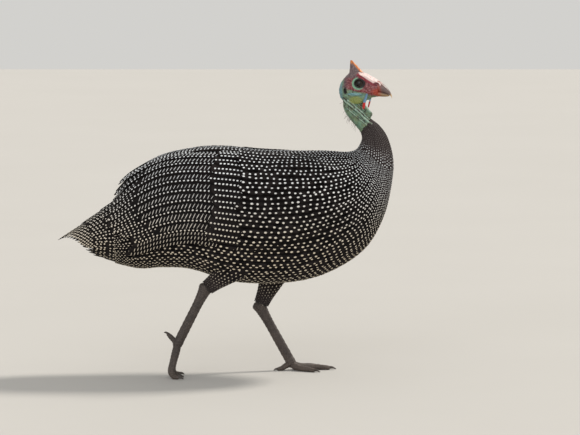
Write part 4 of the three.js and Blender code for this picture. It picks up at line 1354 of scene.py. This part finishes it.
def head_skin():
    """The bare head and neck as one skin, with its lids, folds, ears and lobes."""
    shells = [to_bird(oval_loft(HEAD_STATIONS, 44, 48, HEAD_MIDDLE))]
    for side in (-1, 1):
        shells += [to_bird(side_limb(stops, side)) for stops in SIDE_FOLDS]
        eye_y = eye_centre(side)[1]
        turn = (-side * 0.16, -side * 0.12)
        shells.append(to_bird(ring_on(EYE_X, eye_y + side * 4.3, EYE_Z, 6.1, 1.35, 0.92, turn)))
        shells.append(to_bird(ring_on(-0.4, eye_y + side * 3.3, -0.9, 8.2, 1.1, 0.94, turn)))
        shells.append(to_bird(egg((-4.5, side * 7.6, -22.3), (8.8, 4.0, 5.4))))
        shells.append(to_bird(egg((4.5, side * 7.2, -19.5), (6.5, 3.0, 3.6))))
        for path, radius in NECK_FOLDS:
            s, degrees = np.array(path, float).T
            line = on_outline(s, side * np.radians(degrees), -0.35 * radius)
            shells.append(limb([(*place, radius) for place in line], 30, 10, across=(0.1, 1, 0.2)))
    shells += [limb(stops, 24, 16) for stops in THROAT_FOLD]
    turn = from_back(48)
    shells.append(tube_mesh([on_outline(np.full(48, s), turn, -0.5) for s in np.linspace(14.2, 19, 44)]))
    return remeshed("head skin", shells, SKIN_VOXEL, SKIN_RELAX)


def nearness(x, z, path, radius):
    """1 on a path of (x, z) places on the head's side and 0 beyond radius from it."""
    best = np.full(len(x), 1e9)
    for (ax, az), (bx, bz) in zip(path[:-1], path[1:]):
        ux, uz = bx - ax, bz - az
        t = np.clip(((x - ax) * ux + (z - az) * uz) / (ux * ux + uz * uz), 0, 1)
        best = np.minimum(best, np.hypot(x - ax - t * ux, z - az - t * uz))
    return 1 - smooth(best, 0, radius)


def away_from(points, line):
    return np.sqrt(((points[:, None, :] - line[None]) ** 2).sum(-1)).min(1)


def wrinkled(points, normals):
    """The skin with its own relief, dented at nostrils and ears, and masks for the painted highlight on its
    fold crests and the painted shade in the hollows beside them.
    """
    local = into_head(points)
    x, z = local[:, 0], local[:, 2]
    relief = np.zeros(len(points))
    for size, depth in ((3.2, 0.42), (1.5, 0.24)):
        places = points / (size, size, 1.5 * size)
        relief += depth * np.array([noise.noise(Vector(place)) for place in places])
    on_side = smooth(np.abs(local[:, 1]), 2.5, 4.5)
    slot = nearness(x, z, NOSTRIL, 1.9) * on_side
    hole = nearness(x, z, EAR, 2.0) * on_side
    relief -= 1.8 * slot + 2.2 * hole
    # Near the crest of each neck fold is the mask for a painted highlight; the band beside it is the mask
    # for painted shade.
    crest, hollow = np.zeros(len(points)), np.zeros(len(points))
    for path, radius in NECK_FOLDS:
        stops, degrees = np.array(path).T
        t = np.linspace(0, 1, 60)
        s, d = profile(stops, t), np.radians(profile(degrees, t))
        for side in (-1, 1):
            away = away_from(points, on_outline(s, side * d, 0.3))
            crest = np.maximum(crest, 1 - smooth(away, 0.3 * radius, 1.0 * radius))
            beside = smooth(away, 0.7 * radius, 1.3 * radius)
            hollow = np.maximum(hollow, (1 - smooth(away, 1.2 * radius, 2.6 * radius)) * beside)
    # The throat fold's upper edge joins the mask of the painted highlight.
    rim = np.array([stop[:3] for stop in THROAT_FOLD[0]]) + (0.7, 0, 1.6)
    line = np.stack([profile(values, np.linspace(0, 1, 40)) for values in rim.T], -1)
    crest = np.maximum(crest, 1.5 * (1 - smooth(away_from(points, line), 0.8, 3.4)))
    return points + normals * relief[:, None], {"fold": crest, "hollow": hollow}


def body_skin():
    """The skin under the feathers, inside them by the coat's depth."""
    turn = from_back(84)
    rings = []
    for s in np.linspace(0.9, 15.0, 124):
        depth = np.interp(s, [0.9, 1.6, 2.3, 8, 12, 15], [-12, -8, -2.6, -2.4, -1.5, -1.0])
        cover = smooth(s, 6.3, 7.0) * wing_bump(s, turn)
        rings.append(on_outline(np.full(84, s), turn, depth + cover))
    return tube_mesh(rings)


def thigh_skin(leg):
    turn = once_round(40)
    return tube_mesh([thigh_point(leg, np.full(40, t), turn, -1.3) for t in np.linspace(0.02, 0.93, 26)])


def eye_ball(title, side):
    """A ball with a bulging clear front, turned out along the head's own side."""
    centre = eye_centre(side)
    turn = once_round(48)
    rings = []
    for a in np.linspace(0.03, math.pi - 0.03, 34):
        radius = EYE_RADIUS * (1 + 0.055 * math.exp(-((a / 0.5) ** 2)))
        x, z = np.cos(turn) * math.sin(a) * radius, np.sin(turn) * math.sin(a) * radius
        rings.append(np.stack([x, 0 * turn + side * math.cos(a) * radius, z], -1) + centre)
    return model(f"{title}_eye", to_bird(tube_mesh(rings)), eye_finish(centre * MM))


def skull_reach(turn, z):
    """How far the skull's side is from the helmet's middle line, in each direction at a height."""
    near, far = np.zeros_like(turn), np.full_like(turn, 30.0)
    for _ in range(18):
        middle = (near + far) / 2
        x, y = HELMET_X + middle * np.cos(turn), middle * np.sin(turn)
        on_skull = np.clip(x, -30, 23)
        inside = (z < head_section(on_skull)[0]) & (np.abs(y) < head_side(on_skull, z)) & (x > -30)
        near, far = np.where(inside, middle, near), np.where(inside, far, middle)
    return near


def helmet():
    """The tall narrow horn, whose foot spreads over the crown."""
    rings = []
    turn = once_round(56)
    for z in np.r_[np.linspace(4.5, 15, 26), np.linspace(15.5, 28.4, 34)]:
        t = np.clip((z - 8) / 20.4, 0, 1)
        front, back = lerp(7.2, -13.4, t**0.95), lerp(-18, -15.6, t**0.6)
        half = lerp(5.8, 0.8, t**0.8)
        groove = 1 + 0.04 * np.sin(7 * turn + 3 * t) * np.abs(np.sin(turn))
        groove = groove + 0.025 * np.sin(17 * turn + 8 * t)
        x = (front + back) / 2 + (front - back) / 2 * np.cos(turn) - HELMET_X
        y = half * np.sin(turn)
        horn = np.hypot(x, y)
        way = np.arctan2(y, x)
        crown = skull_reach(way, np.float64(z))
        sunk = 0.8 * (1 - smooth(z, 4.5, 6.5))
        proud = 0.45 * smooth(z, 6.0, 8.5) - sunk - 1.6 * smooth(np.cos(way), 0.25, 0.7)
        sweep = np.where(crown > 0.3, crown + proud, 0)
        reach = np.log(np.exp(np.minimum(horn, 40) / 0.9) + np.exp(sweep / 0.9)) * 0.9
        reach = np.maximum(reach * np.where(horn > sweep, groove, 1), 0.2)
        rings.append(np.stack([HELMET_X + reach * np.cos(way), reach * np.sin(way), 0 * turn + z], -1))
    return model("helmet", to_bird(tube_mesh(rings)), horn_finish())


# Each wattle: the direction across its leaf, and stops of x, y, z, half thickness and half width
WATTLES = {
    "right": (
        (0.72, -0.69, 0),
        [(8.2, -5.8, -12.5, 1.3, 3.8), (7.8, -8.2, -18, 1.2, 3.9), (7.0, -10.4, -24, 1.1, 3.4),
         (6.6, -11.6, -29.5, 1.4, 2.9), (6.4, -12, -33.4, 0.9, 1.4)],
    ),
    "left": (
        (-0.05, 1.0, 0),
        [(11, 5.8, -13, 1.1, 3.4), (9.6, 8.2, -18, 1.0, 3.2), (7.6, 10.4, -24, 0.8, 2.6),
         (5.6, 11.8, -29.5, 0.9, 2.3), (4.6, 12.2, -33, 0.7, 1.2)],
    ),
}


def wattle(title, leaf, stops, finish):
    rings, _ = limb_rings(stops, 40, 28, across=leaf)
    t = np.linspace(0, 1, 41)[:, None]
    turn = once_round(28)[None, :]
    ripple = 1 + 0.06 * np.sin(3 * turn + 9 * t) + 0.05 * np.sin(25 * t + 2 * turn)
    middle = rings.mean(1, keepdims=True)
    shell = tube_mesh(middle + (rings - middle) * ripple[..., None])
    return model(f"{title}_wattle", to_bird(shell), finish)


# Legs


def scuted(stops, period, columns, depth, sides=28):
    """A limb whose skin is plated: overlapping scutes, each column half a plate on from the next."""
    path = np.array([[*s, s[3]] if len(s) == 4 else s for s in stops], float)
    length = np.linalg.norm(np.diff(path[:, :3], axis=0), axis=1).sum()
    sections = max(int(length / (period / 7)), 8)
    rings, rows = limb_rings(path, sections, sides)
    centre = rows[:, None, :3]
    run = np.linspace(0, length, sections + 1)[:, None]
    turn = once_round(sides)[None, :]
    column = turn / (2 * np.pi) * columns + 0.5
    within = (run / period + 0.5 * (np.floor(column) % 2)) % 1
    beside = column % 1
    plate = np.minimum(within * 1.6, 1) * smooth(1 - within, 0, 0.16)
    plate = plate * smooth(np.minimum(beside, 1 - beside), 0, 0.12)
    ends = smooth(run, 0, period) * smooth(length - run, 0, period)
    grown = rings - centre
    size = np.linalg.norm(grown, axis=-1, keepdims=True)
    return tube_mesh(centre + grown * (1 + (depth * plate * ends)[..., None] / size))


def leg_path(leg):
    hock, ball = np.array(leg["hock"], float), np.array(leg["ball"], float)
    along = unit(ball - hock)
    length = np.linalg.norm(ball - hock)
    slim = 0.76  # of its width to its depth
    stops = [(-7.5, 5), (-3, 9.2), (6, 7.6), (0.28 * length, 6.3), (0.6 * length, 6.3), (length - 4, 6.4)]
    return [(*(hock + along * at), r - 0.3, (r - 0.3) * slim) for at, r in stops], ball, along


def foot_point(leg, stop):
    x, out, z, r = stop
    return (x, leg["side"] * (abs(leg["ball"][1]) + out), z, r)


def on_floor(shells, lowest):
    """Several shells as one, with nothing under lowest."""
    points, faces = merged(shells)
    points[:, 2] = np.maximum(points[:, 2], lowest)
    return points, faces


def leg_shell(leg):
    shank, ball, along = leg_path(leg)
    shells = [scuted(shank, 4.4, 8, 0.38, sides=48)]
    block = [(*(ball + along * at), r, r * 0.92) for at, r in ((-8, 6.0), (-3, 6.4), (2, 5.6), (5, 3.8))]
    shells.append(scuted(block, 3.4, 6, 0.3, sides=36))
    for toe in leg["toes"].values():
        shells.append(scuted([(*ball, 4.4), *(foot_point(leg, stop) for stop in toe)], 2.7, 4, 0.34))
    return on_floor(shells, 0.0)


def claws_shell():
    shells = []
    for leg in LEGS.values():
        for stops in leg["claws"].values():
            shells.append(limb([foot_point(leg, stop) for stop in stops], 14, 16))
    return on_floor(shells, 0.3)


HAIRS = 44


def nape_hairs():
    """Thin dark hairs that stand off the back of the bare neck, and where each is on the unwrap."""
    shells, roots = [], []
    for _ in range(HAIRS):
        s, degrees = rng.normal(16.5, 0.8), rng.normal(0, 34)
        angle = np.float64(math.radians(degrees))
        base, out, tail = outline_frame(np.float64(s), angle)
        length = rng.uniform(3.0, 8.0) * (1 - 0.4 * smooth(abs(degrees), 20, 60))
        lean = rng.uniform(-0.3, 0.9)
        sway = unit(np.array([rng.normal(), rng.normal(), rng.normal()])) * 0.35
        way = unit(out + lean * tail + sway)
        bend = unit(tail + np.array([0, 0, -0.4]))
        stops = []
        for t in (0, 0.35, 0.7, 1):
            place = base - out * 1.2 + way * length * t + bend * length * 0.3 * t * t
            stops.append((*place, 0.16 * (1 - 0.6 * t)))
        shells.append(limb(stops, 6, 5, across=(0.2, 0.9, 0.1)))
        roots.append(body_patch(np.float64(s), angle))
    return shells, roots


def split_by_size(spots, most):
    count = len(spots["point"])
    parts = math.ceil(count / most)
    order = np.argsort(spots["point"][:, 0], kind="stable")
    for part in np.array_split(order, parts):
        yield taken(spots, np.sort(part))


# Everything that is seen, on its body and in place of its solids

BODY = next(iter(frame["bodies"]))
NODES = list(frame["nodes"])


def named(start):
    return [node for node in NODES if node.startswith(start)]


def settle(piece, slot, *nodes):
    """A piece on the body, in place of the nodes that are named. Its slot is not used."""
    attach(piece, BODY)
    if nodes:
        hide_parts(*nodes)


feather = feather_finish()
spot = spot_finish()

SCALE_ROWS = [(0, 0.20), (0.3, 0.44), (0.62, 0.5), (0.86, 0.38), (1.0, 0.12)]
THIN_ROWS = [(0, 0.20), (0.4, 0.48), (0.8, 0.40), (1.0, 0.12)]
THIN_UNDER = 9  # mm: shorter feathers have the shape with fewer faces
# The most feathers or spots in a piece
SCALES_EACH, THIN_EACH, SPOTS_EACH = 5000, 6500, 6000
scale_vane = shape_object("scale vane", *small_vane(SCALE_ROWS))
thin_vane = shape_object("thin vane", *small_vane(THIN_ROWS))
dome = shape_object("dome", *spot_dome())

# Skin
head_points, head_normals, head_faces = head_skin()
head_points, skin_marks = wrinkled(head_points, head_normals)
skin_parts = [body_skin(), *(thigh_skin(leg) for leg in LEGS.values())]
skin = model("skin", merged([(head_points, head_faces), *skin_parts]), skin_finish())
for title, values in skin_marks.items():
    mark(skin.data, title, np.r_[values, np.zeros(len(skin.data.vertices) - len(values))])
settle(skin, "blue_skin", "torso", *named("neck"), "head", *named("thigh"))

# Coat
coats = [body_coat(), *(thigh_coat(leg) for leg in LEGS.values())]
all_feathers, all_dots = (joined([coat[i] for coat in coats]) for i in (0, 1))
small = all_feathers["size"][:, 0] < THIN_UNDER
parts = [(part, scale_vane) for part in split_by_size(taken(all_feathers, ~small), SCALES_EACH)]
parts += [(part, thin_vane) for part in split_by_size(taken(all_feathers, small), THIN_EACH)]
for number, (part, shape) in enumerate(parts, 1):
    settle(scatter(f"coat_{number}", part, shape, feather), "plumage")
for number, part in enumerate(split_by_size(all_dots, SPOTS_EACH), 1):
    settle(scatter(f"coat_spots_{number}", part, dome, spot), "plumage")

for side, title in ((-1, "right"), (1, "left")):
    vanes, marks = wing_feathers(side)
    settle(feather_object(f"wing_feathers_{title}", vanes, feather), "plumage", *named(f"wing_{title}"))
    settle(scatter(f"wing_marks_{title}", joined(marks), dome, spot), "plumage")
vanes, marks = tail_feathers()
settle(feather_object("tail_feathers", vanes, feather), "plumage", "tail")
settle(scatter("tail_marks", joined(marks), dome, spot), "plumage")

hair_shells, hair_roots = nape_hairs()
hairs = merged(hair_shells)
x, _, z = hairs[0].T
hair_uv = np.repeat(hair_roots, [len(shell[0]) for shell in hair_shells], axis=0)
hair_uv = hair_uv + 0.0014 * np.stack([np.sin(7.1 * z), np.cos(7.1 * x)], -1)
settle(model("nape_hairs", hairs, hair_finish(), {"OFBake": hair_uv}), "neck_plumage")

# Head
for side, title in ((-1, "right"), (1, "left")):
    settle(eye_ball(title, side), "eye", f"eye_{title}")
wattle_skin = wattle_finish()
for title, (leaf, stops) in WATTLES.items():
    settle(wattle(title, leaf, stops, wattle_skin), "wattle", f"wattle_{title}")
settle(helmet(), "horn", "casque")
bill = bill_finish()
for title, rows in (("upper", UPPER_BILL), ("lower", LOWER_BILL)):
    settle(model(f"{title}_bill", to_bird(oval_loft(rows, 40, 40)), bill), "bill", f"bill_{title}")

# Legs
scales = leg_finish()
for title, leg in LEGS.items():
    settle(model(f"leg_{title}", leg_shell(leg), scales), "leg", f"shank_{title}", f"foot_{title}")
settle(model("claws", claws_shell(), claw_finish()), "claw", *named("claw"))

# Floor, light and camera


def aimed(name, data, place):
    """An object in the scene that looks at the bird from a place."""
    made = bpy.data.objects.new(name, data)
    bpy.context.scene.collection.objects.link(made)
    made.location = place
    made.rotation_euler = (Vector(TARGET) - Vector(place)).to_track_quat("-Z", "Y").to_euler()
    return made


def lamp(name, place, power, angle, colour):
    """A sun that shines from a place towards the bird; a wider angle gives softer shadows."""
    light = bpy.data.lights.new(name, "SUN")
    light.energy, light.angle, light.color = power, angle, colour
    aimed(name, light, place)


def plain_floor(reach=6.0):
    mesh = bpy.data.meshes.new("floor")
    corners = [(-reach, -reach, 0), (reach, -reach, 0), (reach, reach, 0), (-reach, reach, 0)]
    mesh.from_pydata(corners, [], [(0, 1, 2, 3)])
    thing("floor", mesh, floor_finish(), soft=False)


TARGET = (0.0839, 0.0, 0.2048)
ELEVATION = math.radians(6)
DISTANCE = 5.0
VIEW_WIDTH = 0.754
SENSOR = 36

plain_floor()
lamp("key", (1.5, 0.75, 1.9), 2.6, 0.20, (1.0, 0.95, 0.87))
lamp("fill", (-0.6, -2.6, 1.3), 0.9, 0.9, (0.95, 0.97, 1.0))
bpy.context.scene.view_settings.view_transform = "Standard"
world = bpy.data.worlds.new("soft daylight")
world.use_nodes = True
background = world.node_tree.nodes["Background"].inputs
background["Color"].default_value = (0.86, 0.85, 0.82, 1)
background["Strength"].default_value = 0.75
bpy.context.scene.world = world

lens = bpy.data.cameras.new("camera")
lens.sensor_width = SENSOR
lens.lens = SENSOR * DISTANCE / VIEW_WIDTH
lens.clip_end = 50
back, up = DISTANCE * math.cos(ELEVATION), DISTANCE * math.sin(ELEVATION)
bpy.context.scene.camera = aimed("camera", lens, (TARGET[0], -back, TARGET[2] + up))

bpy.context.view_layer.update()
